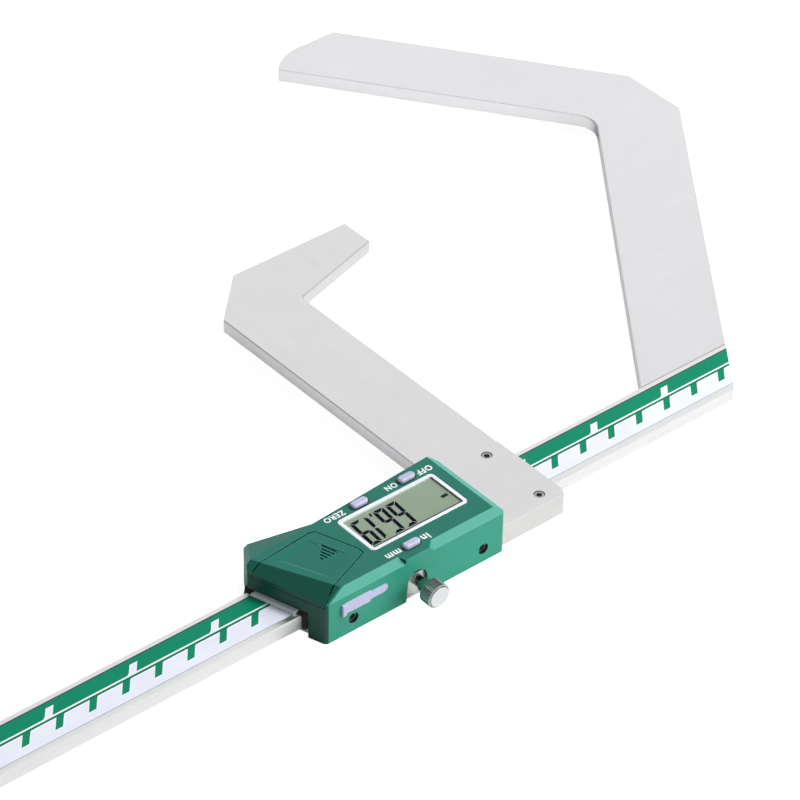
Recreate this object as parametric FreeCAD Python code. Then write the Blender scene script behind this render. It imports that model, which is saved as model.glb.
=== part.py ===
import FreeCAD, Part

# Digital caliper with a V-shaped fixed jaw. Millimetres, display up.
# X runs along the beam towards the fixed jaw, Y from the beam towards the jaw tips.
# The origin is on the beam's centre line, in the underside of the bottom plate.

import os
from math import atan2, cos, degrees, hypot, pi, radians, sin, tan

from FreeCAD import Vector

os.makedirs("parts", exist_ok=True)

# General clearances
SLIDE_GAP = 0.05      # flat sliding faces
FACE_GAP = 0.10       # over the label
SEAT = 0.03           # pieces dropped into a seat
SHAFT_GAP = 0.06      # radial, turning shaft
HEAD_GAP = 0.12       # under countersunk heads

# Beam
BEAM_W = 16.0
BEAM_T = 4.0
BEAM_BOTTOM = 3.2
BEAM_TOP = BEAM_BOTTOM + BEAM_T
BEAM_LEFT = -177.0
BEAM_END_X = 125.3    # where the oblique end crosses the centre line
LABEL_W = 12.5
LABEL_T = 0.2
GRID_T = 0.7
GRID_BOTTOM = BEAM_TOP - LABEL_T - GRID_T

# Fixed jaw
SHANK_ANGLE = 53.2
ARM_ANGLE = 54.0
V_APEX = (178.0, 112.4)
V_FILLET = 8.0
JAW_BAND = 24.8
JAW_CORNER_X = 200.9
TIP_Y = 197.2
TIP_IN = (121.0, 191.0)
TIP_MID = (126.4, 195.4)
TIP_FLAT_X = 133.5
FOOT_T = 1.8
RIVET_R = 1.5

# Sliding jaw and its base
JAW_LEFT = 29.9
JAW_RIGHT = 53.4
JAW_T = 4.1
BRIDGE_T = 1.4
JAW_TOP = BEAM_TOP + FACE_GAP + BRIDGE_T
JAW_BOTTOM = JAW_TOP - JAW_T
JAW_OUTER_Y = 115.5
JAW_CHAMFER = 15.1
FACE_X = 85.0
FACE_LOW_Y = 104.3
INNER_Y = 95.3
BASE_WALL = 5.25
BASE_W = BEAM_W + 2 * BASE_WALL
HALF_BASE = BASE_W / 2
END_WALL = 1.5        # from the housing's end face to the base
BASE_CORNER = (-27.5, HALF_BASE)
PLATE_T = 0.8
BASE_TOP = BEAM_TOP + FACE_GAP
BRIDGE_EDGE = 1.1     # bevel along the bridge's near edge
JAW_SCREW_X = 47.3
JAW_SCREW_Y = BEAM_W / 2 + 2.4
SET_SCREW_R = 1.5
EDGE = 0.25           # small edge bevel
BEAM_EDGE = 0.35

# Gib and lock
GIB_T = 0.6
GIB_SCREW_X = (-17.9, 25.0)
GIB_SCREW_Z = 4.4
GIB_SCREW_R = 1.0
LOCK_X = 3.4
LOCK_Z = 5.25
LOCK_R = 1.5
KNOB_R = 3.5
KNOB_FRONT = -HALF_BASE - 9.3
KNOB_L = 4.4
KNURLS = 36

# Housing
TOP = 14.3
SKIRT = 0.2
NEAR_Y = -HALF_BASE - 0.95
FAR_Y = HALF_BASE + 1.45
RIGHT_X = 32.0
NEAR_BEVEL = (2.25, 1.45)
RIGHT_BEVEL = (2.0, 1.0)
RIDGE_CUT = 0.07      # depth taken off the ridge between end slope and near bevel
END_X0 = -31.3        # end face on the centre line
END_SLOPE = 0.32      # how much it leans back per mm of Y
CORNER_LEFT = (-34.2, BEAM_W / 2 + 0.2)
SLOT_TOP = 8.3
SLOT_SIDE = 1.1       # slot beside the beam
WIPER_Y = (-6.4, 6.1)
WIPER_T = 0.75
SEAL_PROUD = 0.95
WIPER_PROUD = 1.7
WING = (-26.9, HALF_BASE + 5.85, 11.2)
WING_IN = (-25.7, HALF_BASE + 5.65, 11.2)
WING_DROP = 0.9       # how far the end facet lies below the wing's corner
BEND = (-10.1, HALF_BASE - 1.45, TOP)
BEND_LOW = (-10.1, HALF_BASE + 1.05, 11.6)
FOLD_FAR = (-31.2, HALF_BASE - 2.55, TOP)
FOLD_NEAR = (-21.0, 2.95 - HALF_BASE, TOP)
SLOPE_NEAR = (-26.6, NEAR_Y, TOP - NEAR_BEVEL[1])
TOP_FAR_RIGHT = (RIGHT_X, HALF_BASE + 1.35, TOP)
SHELL = 1.3
CAVITY_TOP = TOP - SHELL
CAVITY_FLOOR = BASE_TOP + 0.1
PAD_TOP = (-0.9, 6.8)
PAD_FOOT = (-0.9, 8.3)
ACCESS_R = 1.6
ARCH_X = 3.0
ARCH_R = 3.2
ARCH_TOP = 8.9
ARCH_FLARE = 0.5      # how much wider each side is at the foot

# Display and buttons
FRAME = (-5.3, 26.7, 6.9 - HALF_BASE, HALF_BASE - 4.6)
FRAME_W = 0.85
FRAME_PROUD = 0.15
FRAME_GAP = 0.3       # beside the frame's right edge
WINDOW_TOP = 13.4
WINDOW_T = 0.4
LCD_TOP = CAVITY_TOP - 0.05
LCD_T = 1.2
BUTTON_L = 5.2
BUTTON_W = 2.2
BUTTON_PROUD = 1.1
BUTTON_TRAVEL = 0.4
BUTTON_GAP = 0.25
BUTTONS = {"on_off_button": (20.0, HALF_BASE - 2.35), "zero_button": (4.0, HALF_BASE - 2.65),
           "unit_button": (4.0, 2.95 - HALF_BASE)}
FLANGE_W = 2.5
FLANGE_L = 6.0
DOME_H = 1.0

# Battery bay
BATTERY_R = 8.0
BATTERY_H = 3.2
BATTERY_AT = (-18.8, 0.5)
BATTERY_Z = 8.5
COVER_FLOOR = 12.2
COVER_LIP = 11.85
COVER_GAP = 0.18
COVER_OUTLINE = [(-38.0, 5.85), (-30.2, 8.15), (-13.4, 9.55), (-11.6, 9.05), (-7.2, -3.2), (-7.4, -5.1),
                 (-21.5, -10.55), (-26.6, -13.6), (-38.0, -20.5)]
PAD_OUTLINE = [(-26.2, 6.0), (-14.7, 7.7), (-10.4, -4.0), (-20.3, -7.4)]
PAD_TAPER = 0.18      # share of the outline that the pad loses on the way up
PAD_RISE = 0.35

# Board, and the cavity that it lies in: left, right, near, far at the left, far at the right
ROOM = (-8.5, 29.2, 0.75 - HALF_BASE, HALF_BASE - 1.65, HALF_BASE - 0.05)
BOARD_Z = BASE_TOP + 0.1
BOARD_T = 0.6
PORT_ROOM = (-16.0, 0.55 - HALF_BASE, 2.85 - HALF_BASE)
PLATE_SCREW_Y = HALF_BASE - 2.05
PLATE_SCREWS = [(-23.6, 0.2 - PLATE_SCREW_Y), (-23.2, PLATE_SCREW_Y), (27.6, -PLATE_SCREW_Y),
                (27.6, PLATE_SCREW_Y)]
PLATE_SCREW_R = 0.8

# Port
PORT_X = (-21.9, -6.7)
PORT_STEP_X = -12.3
PORT_Z = (6.95, 10.6)
PORT_SLIM_Z = (7.6, 10.2)
PORT_DEPTH = 0.9
PORT_LIP = 0.75       # how far the plug's finger lip stands out


def save(name, *shapes):
    """Write the solids of one sub-part as one STEP file."""
    solids = []
    for shape in shapes:
        solids.extend(shape.Solids)
    whole = solids[0] if len(solids) == 1 else Part.makeCompound(solids)
    whole.exportStep("parts/" + name + ".step")
    return whole


def box(x0, x1, y0, y1, z0, z1):
    return Part.makeBox(x1 - x0, y1 - y0, z1 - z0, Vector(x0, y0, z0))


def cylinder(radius, start, end):
    base, tip = Vector(*start), Vector(*end)
    return Part.makeCylinder(radius, (tip - base).Length, base, tip - base)


def cone(r0, r1, start, end):
    base, tip = Vector(*start), Vector(*end)
    return Part.makeCone(r0, r1, (tip - base).Length, base, tip - base)


def many_sided(x, y, stations, sides=16):
    """Small turned piece, or its hole, with flat sides, from pairs of height and radius."""
    rings = []
    for z, radius in stations:
        rings.append([Vector(x + radius * cos(2 * pi * k / sides), y + radius * sin(2 * pi * k / sides), z)
                      for k in range(sides)])
    faces = [Part.Face(Part.makePolygon(ring + ring[:1])) for ring in (rings[0], rings[-1])]
    for low, high in zip(rings, rings[1:]):
        for k in range(sides):
            faces.append(Part.Face(Part.makePolygon([low[k - 1], low[k], high[k], high[k - 1], low[k - 1]])))
    shell = Part.makeShell(faces)
    shell.sewShape()
    solid = Part.makeSolid(shell)
    if solid.Volume < 0:
        solid.reverse()
    return solid


def many_sided_y(x, z, stations, sides=16):
    """The same about an axis along Y."""
    piece = many_sided(0, 0, stations, sides)
    piece.rotate(Vector(0, 0, 0), Vector(1, 0, 0), -90)
    piece.translate(Vector(x, 0, z))
    return piece


def prism(points, z0, z1):
    """Extrude a plan outline between two heights."""
    wire = Part.makePolygon([Vector(x, y, z0) for x, y in points] + [Vector(*points[0], z0)])
    return Part.Face(wire).extrude(Vector(0, 0, z1 - z0))


def rounded(points, radii, z0, z1):
    """Extrude a plan outline whose corners are rounded by the given radii."""
    count = len(points)
    starts, mids, ends = [], [], []
    for i in range(count):
        here = Vector(*points[i], z0)
        before = (Vector(*points[i - 1], z0) - here).normalize()
        after = (Vector(*points[(i + 1) % count], z0) - here).normalize()
        half = before.getAngle(after) / 2
        reach = radii[i] / tan(half)
        middle = (before + after).normalize()
        starts.append(here + before * reach)
        ends.append(here + after * reach)
        mids.append(here + middle * (radii[i] / sin(half) - radii[i]))
    edges = []
    for i in range(count):
        if radii[i] > 0:
            edges.append(Part.Arc(starts[i], mids[i], ends[i]).toShape())
        edges.append(Part.makeLine(ends[i], starts[(i + 1) % count]))
    return Part.Face(Part.Wire(edges)).extrude(Vector(0, 0, z1 - z0))


def slab(x0, x1, y0, y1, z0, z1, radius):
    """Box with rounded upright edges."""
    return rounded([(x0, y0), (x1, y0), (x1, y1), (x0, y1)], [radius] * 4, z0, z1)


def beyond(a, b, c, inside, size=400.0):
    """The half space past the plane through three points, on the side away from the inner point."""
    a, b, c, inside = Vector(*a), Vector(*b), Vector(*c), Vector(*inside)
    along = (b - a).normalize()
    normal = along.cross(c - a).normalize()
    if normal.dot(inside - a) > 0:
        normal = normal * -1
    across = normal.cross(along).normalize()
    corner = a - along * size - across * size
    wire = Part.makePolygon([corner, corner + along * 2 * size, corner + along * 2 * size + across * 2 * size,
                             corner + across * 2 * size, corner])
    return Part.Face(wire).extrude(normal * size)


def bevelled(shape, test, size):
    """Bevel the edges that the test picks."""
    edges = [edge for edge in shape.Edges if test(edge)]
    return shape.makeChamfer(size, edges) if edges else shape


def level_edge(edge, z):
    return all(abs(vertex.Z - z) < 1e-4 for vertex in edge.Vertexes)


def end_x(y):
    """X of the housing's end face at a given Y."""
    return END_X0 - END_SLOPE * y


def oblique_cut():
    """Everything right of the oblique end that beam, label and fixed jaw share."""
    lean = 1 / tan(radians(SHANK_ANGLE))
    low, high = -30.0, 300.0
    return prism([(BEAM_END_X + lean * low, low), (500, low), (500, high), (BEAM_END_X + lean * high, high)],
                 -10, 30)


# Beam group

def foot_outline(grow=0.0):
    """Plan of the jaw's foot that laps under the beam."""
    lean = 1 / tan(radians(SHANK_ANGLE))
    half = BEAM_W / 2
    band = JAW_BAND / sin(radians(SHANK_ANGLE)) + grow
    right = [(BEAM_END_X + lean * y, y) for y in (-half, half)]
    return [right[0], right[1], (right[1][0] - band, half), (right[0][0] - band, -half)]


def rivet_places():
    lean = 1 / tan(radians(SHANK_ANGLE))
    centre = BEAM_END_X - JAW_BAND / sin(radians(SHANK_ANGLE)) / 2
    return [(centre - 7.5 - 3.5 * lean, -3.5), (centre + 3.5 * lean, 3.5), (centre + 7.5 - 3.5 * lean, -3.5)]


def make_beam():
    half = BEAM_W / 2
    bar = rounded([(BEAM_LEFT, -half), (200, -half), (200, half), (BEAM_LEFT, half)],
                  [2.0, 0, 0, 2.0], BEAM_BOTTOM, BEAM_TOP)
    bar = bar.cut(oblique_cut())
    recess = LABEL_W / 2 + SEAT
    bar = bar.cut(box(BEAM_LEFT + 3, 250, -recess, recess, GRID_BOTTOM, 20))
    notch = prism(foot_outline(SEAT), BEAM_BOTTOM - 1, BEAM_BOTTOM + FOOT_T + SEAT)
    bar = bar.cut(notch)
    for x, y in rivet_places():
        bar = bar.cut(many_sided(x, y, [(0, RIVET_R * 0.6 + SEAT), (GRID_BOTTOM - 0.3, RIVET_R * 0.6 + SEAT)]))
    for x in (BEAM_LEFT + 3.5, BEAM_LEFT + 8.5):
        bar = bar.cut(many_sided(x, 0, [(0, 0.8 + SEAT), (GRID_BOTTOM - 0.5, 0.8 + SEAT)]))
    return bevelled(bar, lambda e: level_edge(e, BEAM_TOP) and abs(e.Vertexes[0].Y) > half - 0.01
                    and abs(e.Vertexes[-1].Y) > half - 0.01 and e.Length > 100, BEAM_EDGE)


def make_scale_grid():
    half = LABEL_W / 2
    strip = box(BEAM_LEFT + 3.1, 250, -half, half, GRID_BOTTOM, BEAM_TOP - LABEL_T)
    return strip.cut(oblique_cut())


def make_scale_label():
    half = LABEL_W / 2
    strip = box(BEAM_LEFT + 3.1, 250, -half, half, BEAM_TOP - LABEL_T, BEAM_TOP)
    return strip.cut(oblique_cut())


def make_fixed_jaw():
    """Plate with the shank, the V and the returning arm, cut from one outline."""
    shank, arm = radians(SHANK_ANGLE), radians(ARM_ANGLE)
    half = BEAM_W / 2
    ax, ay = V_APEX
    root_in = (ax - (ay - half) / tan(shank), half)
    lean = 1 / tan(shank)
    root_out = (BEAM_END_X + lean * half, half)
    corner_low = (JAW_CORNER_X, (JAW_CORNER_X - BEAM_END_X) / lean)
    outer_apex_x = ax + JAW_BAND / sin(arm)
    corner_high = (JAW_CORNER_X, ay + (outer_apex_x - JAW_CORNER_X) * tan(arm))
    tip_out = (outer_apex_x - (TIP_Y - ay) / tan(arm), TIP_Y)
    inner = Vector(ax, ay, 0)
    reach = V_FILLET / tan((shank + arm) / 2)
    on_arm = inner + Vector(-cos(arm), sin(arm), 0) * reach
    on_shank = inner + Vector(-cos(shank), -sin(shank), 0) * reach
    bisector = (on_arm + on_shank) * 0.5 - inner
    middle = inner + bisector.normalize() * (V_FILLET / sin((shank + arm) / 2) - V_FILLET)

    def at(point):
        return Vector(point[0], point[1], 0)

    edges = [
        Part.makeLine(at(root_in), at(root_out)),
        Part.makeLine(at(root_out), at(corner_low)),
        Part.makeLine(at(corner_low), at(corner_high)),
        Part.makeLine(at(corner_high), at(tip_out)),
        Part.makeLine(at(tip_out), at((TIP_FLAT_X, TIP_Y))),
        Part.Arc(at((TIP_FLAT_X, TIP_Y)), at(TIP_MID), at(TIP_IN)).toShape(),
        Part.makeLine(at(TIP_IN), on_arm),
        Part.Arc(on_arm, middle, on_shank).toShape(),
        Part.makeLine(on_shank, at(root_in)),
    ]
    plate = Part.Face(Part.Wire(edges)).extrude(Vector(0, 0, BEAM_T))
    plate.translate(Vector(0, 0, BEAM_BOTTOM))
    plate = bevelled(plate, lambda e: (level_edge(e, BEAM_TOP) or level_edge(e, BEAM_BOTTOM))
                     and max(v.Y for v in e.Vertexes) > half + 1, EDGE)
    foot = prism(foot_outline(), BEAM_BOTTOM, BEAM_BOTTOM + FOOT_T)
    plate = plate.fuse(foot).removeSplitter()
    for x, y in rivet_places():
        sink = HEAD_GAP / 2
        plate = plate.cut(many_sided(x, y, [(BEAM_BOTTOM - 0.1, RIVET_R + sink), (BEAM_BOTTOM, RIVET_R + sink),
                                            (BEAM_BOTTOM + 0.7, RIVET_R * 0.6 + sink), (9, RIVET_R * 0.6 + sink)]))
    return plate


def make_jaw_rivets():
    rivets = []
    for x, y in rivet_places():
        rivets.append(many_sided(x, y, [(BEAM_BOTTOM + 0.02, RIVET_R), (BEAM_BOTTOM + 0.7, RIVET_R * 0.6),
                                        (GRID_BOTTOM - 0.4, RIVET_R * 0.6)]))
    return rivets


def make_end_stop():
    """Small plate under the beam's left end that keeps the slider on."""
    x0 = BEAM_LEFT + 1.0
    plate = prism([(x0, -5.7), (x0 + 0.8, -6.5), (x0 + 9.2, -6.5), (x0 + 10, -5.7), (x0 + 10, 5.7), (x0 + 9.2, 6.5),
                   (x0 + 0.8, 6.5), (x0, 5.7)], BEAM_BOTTOM - 1.5, BEAM_BOTTOM)
    for x in (BEAM_LEFT + 3.5, BEAM_LEFT + 8.5):
        low = BEAM_BOTTOM - 1.5
        plate = plate.cut(many_sided(x, 0, [(low - 0.1, 1.6 + HEAD_GAP), (low, 1.6 + HEAD_GAP),
                                            (low + 0.8, 0.8 + HEAD_GAP), (9, 0.8 + HEAD_GAP)]))
    return plate


def make_end_stop_screws():
    screws = []
    for x in (BEAM_LEFT + 3.5, BEAM_LEFT + 8.5):
        screw = many_sided(x, 0, [(BEAM_BOTTOM - 1.45, 1.6), (BEAM_BOTTOM - 0.7, 0.8), (GRID_BOTTOM - 0.6, 0.8)])
        slot = box(x - 2, x + 2, -0.2, 0.2, BEAM_BOTTOM - 2, BEAM_BOTTOM - 1.1)
        screws.append(screw.cut(slot))
    return screws


# Slider

def base_outline(inset=0.0):
    """Left part of the plan that base, plate and housing share; it follows the oblique end."""
    half = BASE_W / 2 - inset
    depth = END_WALL + inset
    far = 8.0
    return [(end_x(-half) + depth, -half), (end_x(far) + depth, far), (BASE_CORNER[0] + inset, half)]


def make_slider_base():
    """Channel that wraps the beam from below, with threaded holes in its walls."""
    half = BASE_W / 2
    outline = base_outline()
    body = prism(outline + [(JAW_RIGHT, half), (JAW_RIGHT, -half)], PLATE_T, BASE_TOP)
    near_wall = BEAM_W / 2 + SLIDE_GAP * 2 + GIB_T
    far_wall = BEAM_W / 2 + SLIDE_GAP
    body = body.cut(box(-100, 100, -near_wall, far_wall, BEAM_BOTTOM - SLIDE_GAP, 20))
    body = bevelled(body, lambda e: level_edge(e, PLATE_T) and abs(e.Vertexes[0].Y) > half - 0.01
                    and abs(e.Vertexes[-1].Y) > half - 0.01 and e.Length > 40, 0.3)
    for x in GIB_SCREW_X:
        hole = GIB_SCREW_R + SEAT
        body = body.cut(many_sided_y(x, GIB_SCREW_Z, [(-half - 1, hole), (-near_wall + 1, hole)]))
    body = body.cut(cylinder(LOCK_R + SHAFT_GAP, (LOCK_X, -half - 1, LOCK_Z), (LOCK_X, -near_wall + 1, LOCK_Z)))
    for y in (-JAW_SCREW_Y, JAW_SCREW_Y):
        body = body.cut(cylinder(SET_SCREW_R + SEAT, (JAW_SCREW_X, y, BASE_TOP - 5), (JAW_SCREW_X, y, 20)))
    for x, y in PLATE_SCREWS:
        body = body.cut(many_sided(x, y, [(0, PLATE_SCREW_R + SEAT), (20, PLATE_SCREW_R + SEAT)]))
    return body


def make_sliding_jaw():
    """Hooked arm with the thin bridge that is bolted over the beam."""
    top = JAW_OUTER_Y
    outline = [(JAW_LEFT, BASE_W / 2), (JAW_RIGHT, BASE_W / 2), (JAW_RIGHT, INNER_Y), (FACE_X, FACE_LOW_Y),
               (FACE_X, top), (JAW_LEFT + JAW_CHAMFER, top), (JAW_LEFT, top - JAW_CHAMFER)]
    arm = rounded(outline, [0, 0, 1.5, 0.3, 0.3, 0.3, 0.3], JAW_BOTTOM, JAW_TOP)
    arm = bevelled(arm, lambda e: (level_edge(e, JAW_TOP) or level_edge(e, JAW_BOTTOM))
                   and max(v.Y for v in e.Vertexes) > BASE_W / 2 + 1, EDGE)
    bridge = box(JAW_LEFT, JAW_RIGHT, -BASE_W / 2, BASE_W / 2, BASE_TOP, JAW_TOP)
    near_edge = [e for e in bridge.Edges if level_edge(e, JAW_TOP) and all(v.Y < 0 for v in e.Vertexes)]
    bridge = bridge.makeChamfer(BRIDGE_EDGE, near_edge)
    jaw = arm.fuse(bridge).removeSplitter()
    for y in (-JAW_SCREW_Y, JAW_SCREW_Y):
        jaw = jaw.cut(cylinder(SET_SCREW_R + SEAT, (JAW_SCREW_X, y, 0), (JAW_SCREW_X, y, 20)))
    return jaw


def hexagon(x, y, across, z0, z1):
    radius = across / 2 / cos(pi / 6)
    points = [(x + radius * cos(radians(60 * k + 15)), y + radius * sin(radians(60 * k + 15))) for k in range(6)]
    return prism(points, z0, z1)


def make_jaw_screws():
    """Two socket set screws, a little below the bridge's face."""
    screws = []
    for y in (-JAW_SCREW_Y, JAW_SCREW_Y):
        screw = many_sided(JAW_SCREW_X, y, [(BASE_TOP - 4.5, SET_SCREW_R), (JAW_TOP - 0.45, SET_SCREW_R),
                                            (JAW_TOP - 0.25, SET_SCREW_R - 0.2)], 32)
        screws.append(screw.cut(hexagon(JAW_SCREW_X, y, 1.5, JAW_TOP - 1.8, 20)))
    return screws


def make_gib_strip():
    y0 = -BEAM_W / 2 - SLIDE_GAP - GIB_T
    x0 = end_x(y0) + END_WALL + 0.5
    strip = box(x0, JAW_RIGHT - 0.5, y0, y0 + GIB_T, BEAM_BOTTOM + 0.1, BEAM_TOP - 0.2)
    return strip


def make_gib_screws():
    inner = -BEAM_W / 2 - SLIDE_GAP * 2 - GIB_T
    outer = -BASE_W / 2 + 0.6
    screws = []
    for x in GIB_SCREW_X:
        screw = many_sided_y(x, GIB_SCREW_Z, [(outer, GIB_SCREW_R), (inner, GIB_SCREW_R)])
        slot = box(x - 1.5, x + 1.5, outer - 1, outer + 0.5, GIB_SCREW_Z - 0.15, GIB_SCREW_Z + 0.15)
        screws.append(screw.cut(slot))
    return screws


def make_lock_pad():
    inner = -BEAM_W / 2 - SLIDE_GAP * 2 - GIB_T
    return many_sided_y(LOCK_X, LOCK_Z, [(inner - 1.2, LOCK_R - 0.1), (inner, LOCK_R - 0.1)])


def make_lock_screw():
    """Knob with straight knurls, a neck and the threaded end."""
    ring = []
    for k in range(2 * KNURLS):
        radius = KNOB_R - 0.2 * (k % 2)
        ring.append(Vector(LOCK_X + radius * cos(pi * k / KNURLS), KNOB_FRONT + 0.4,
                           LOCK_Z + radius * sin(pi * k / KNURLS)))
    knob = Part.Face(Part.makePolygon(ring + ring[:1])).extrude(Vector(0, KNOB_L - 0.8, 0))
    tip = -BEAM_W / 2 - SLIDE_GAP * 2 - GIB_T - 1.3
    stations = [(0, KNOB_R - 0.6), (0.4, KNOB_R - 0.25), (KNOB_L - 0.4, KNOB_R - 0.25), (KNOB_L, KNOB_R - 0.6),
                (KNOB_L + 0.8, 2.0), (KNOB_L + 2.0, 2.0), (KNOB_L + 2.2, LOCK_R), (tip - KNOB_FRONT, LOCK_R)]
    core = many_sided_y(LOCK_X, LOCK_Z, [(KNOB_FRONT + y, radius) for y, radius in stations], KNURLS)
    return knob.fuse(core).removeSplitter()


def make_bottom_plate():
    inset = 0.1
    half = BASE_W / 2 - inset
    right = RIGHT_X - 0.3
    outline = base_outline(inset) + [(right, half), (right, -half)]
    plate = rounded(outline, [0, 0, 0, 1.0, 1.0], 0, PLATE_T)
    for x, y in PLATE_SCREWS:
        plate = plate.cut(many_sided(x, y, [(-0.1, 1.5 + HEAD_GAP), (0, 1.5 + HEAD_GAP),
                                            (PLATE_T - 0.1, PLATE_SCREW_R + HEAD_GAP), (2, PLATE_SCREW_R + HEAD_GAP)]))
    return plate


def make_plate_screws():
    screws = []
    for x, y in PLATE_SCREWS:
        screw = many_sided(x, y, [(0.05, 1.5), (PLATE_T - 0.1, PLATE_SCREW_R), (BASE_TOP + 2.7, PLATE_SCREW_R)])
        cross = box(x - 0.9, x + 0.9, y - 0.17, y + 0.17, 0, 0.45).fuse(
            box(x - 0.17, x + 0.17, y - 0.9, y + 0.9, 0, 0.45))
        screws.append(screw.cut(cross))
    return screws


def make_wiper_strip():
    """Pale strip that wipes the label under the housing's end."""
    y0, y1 = WIPER_Y
    z0 = BASE_TOP
    points = [(end_x(y0) - WIPER_PROUD, y0), (end_x(y0) + 0.8, y0), (end_x(y1) + 0.8, y1),
              (end_x(y1) - WIPER_PROUD, y1)]
    strip = prism(points, z0, z0 + WIPER_T)
    return bevelled(strip, lambda e: level_edge(e, z0 + WIPER_T) and e.Length > 5
                    and e.Vertexes[0].X < end_x(e.Vertexes[0].Y), 0.4)


def make_felt_seal():
    """Black seal between the beam and the housing's end."""
    half = BEAM_W / 2 + SLOT_SIDE - SEAT
    front, back = -SEAL_PROUD, END_WALL - SEAT
    points = [(end_x(-half) + front, -half), (end_x(-half) + back, -half), (end_x(half) + back, half),
              (end_x(half) + front, half)]
    seal = prism(points, BEAM_BOTTOM, SLOT_TOP - SEAT)
    gap = SLIDE_GAP * 2
    seal = seal.cut(box(-60, 0, -BEAM_W / 2 - gap, BEAM_W / 2 + gap, 0, BEAM_TOP + gap))
    y0, y1 = WIPER_Y[0] - SEAT, WIPER_Y[1] + SEAT
    room = [(end_x(y0) - 3, y0), (end_x(y0) + 0.83, y0), (end_x(y1) + 0.83, y1), (end_x(y1) - 3, y1)]
    return seal.cut(prism(room, 0, BASE_TOP + WIPER_T + SEAT))


def housing_block():
    """Outer form of the housing before it is hollowed."""
    outline = [(end_x(NEAR_Y), NEAR_Y), (RIGHT_X, NEAR_Y), (RIGHT_X, FAR_Y), BEND_LOW[:2], WING[:2], CORNER_LEFT]
    block = rounded(outline, [1.4, 0.8, 3.2, 3.0, 0.3, 0.4], SKIRT, TOP)
    inside = (0, 0, 5)
    block = block.cut(beyond(FOLD_FAR, FOLD_NEAR, SLOPE_NEAR, inside))
    left_part = box(-100, BEND[0], -100, 100, -10, 50)
    right_part = box(BEND[0], 100, -100, 100, -10, 50)
    block = block.cut(beyond(FOLD_FAR, BEND, WING_IN, inside).common(left_part))
    block = block.cut(beyond(BEND, WING, BEND_LOW, inside).common(left_part))
    block = block.cut(beyond(BEND, TOP_FAR_RIGHT, BEND_LOW, inside).common(right_part))
    wing_low = (WING[0], WING[1], WING[2] - WING_DROP)
    block = block.cut(beyond(FOLD_FAR, WING_IN, wing_low, inside).common(left_part))
    block = block.cut(beyond((RIGHT_X, 0, TOP - RIGHT_BEVEL[1]), (RIGHT_X, 9, TOP - RIGHT_BEVEL[1]),
                             (RIGHT_X - RIGHT_BEVEL[0], 0, TOP), inside))
    bevel = beyond((0, NEAR_Y, TOP - NEAR_BEVEL[1]), (9, NEAR_Y, TOP - NEAR_BEVEL[1]),
                   (0, NEAR_Y + NEAR_BEVEL[0], TOP), inside)
    low_y, low_z = NEAR_Y, TOP - NEAR_BEVEL[1]
    high_y = NEAR_Y + NEAR_BEVEL[0]
    left_end = beyond((PAD_FOOT[0] - 0.8, high_y, TOP), (PAD_FOOT[0], low_y, low_z), (PAD_TOP[0], low_y, TOP),
                      (4, NEAR_Y + 0.5, TOP - 0.3))
    right_end = beyond((PAD_FOOT[1] + 0.8, high_y, TOP), (PAD_FOOT[1], low_y, low_z), (PAD_TOP[1], low_y, TOP),
                       (4, NEAR_Y + 0.5, TOP - 0.3))
    block = block.cut(bevel.common(left_end.fuse(right_end)))
    slope = (Vector(*FOLD_FAR) - Vector(*FOLD_NEAR)).cross(Vector(*SLOPE_NEAR) - Vector(*FOLD_NEAR)).normalize()
    mean = (slope * (1 if slope.z > 0 else -1) + Vector(0, -NEAR_BEVEL[1], NEAR_BEVEL[0]).normalize()).normalize()
    ridge = slope.cross(Vector(0, -NEAR_BEVEL[1], NEAR_BEVEL[0])).normalize()
    start = Vector(*SLOPE_NEAR) - mean * RIDGE_CUT
    return block.cut(beyond(start, start + ridge, start + ridge.cross(mean), inside))


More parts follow.
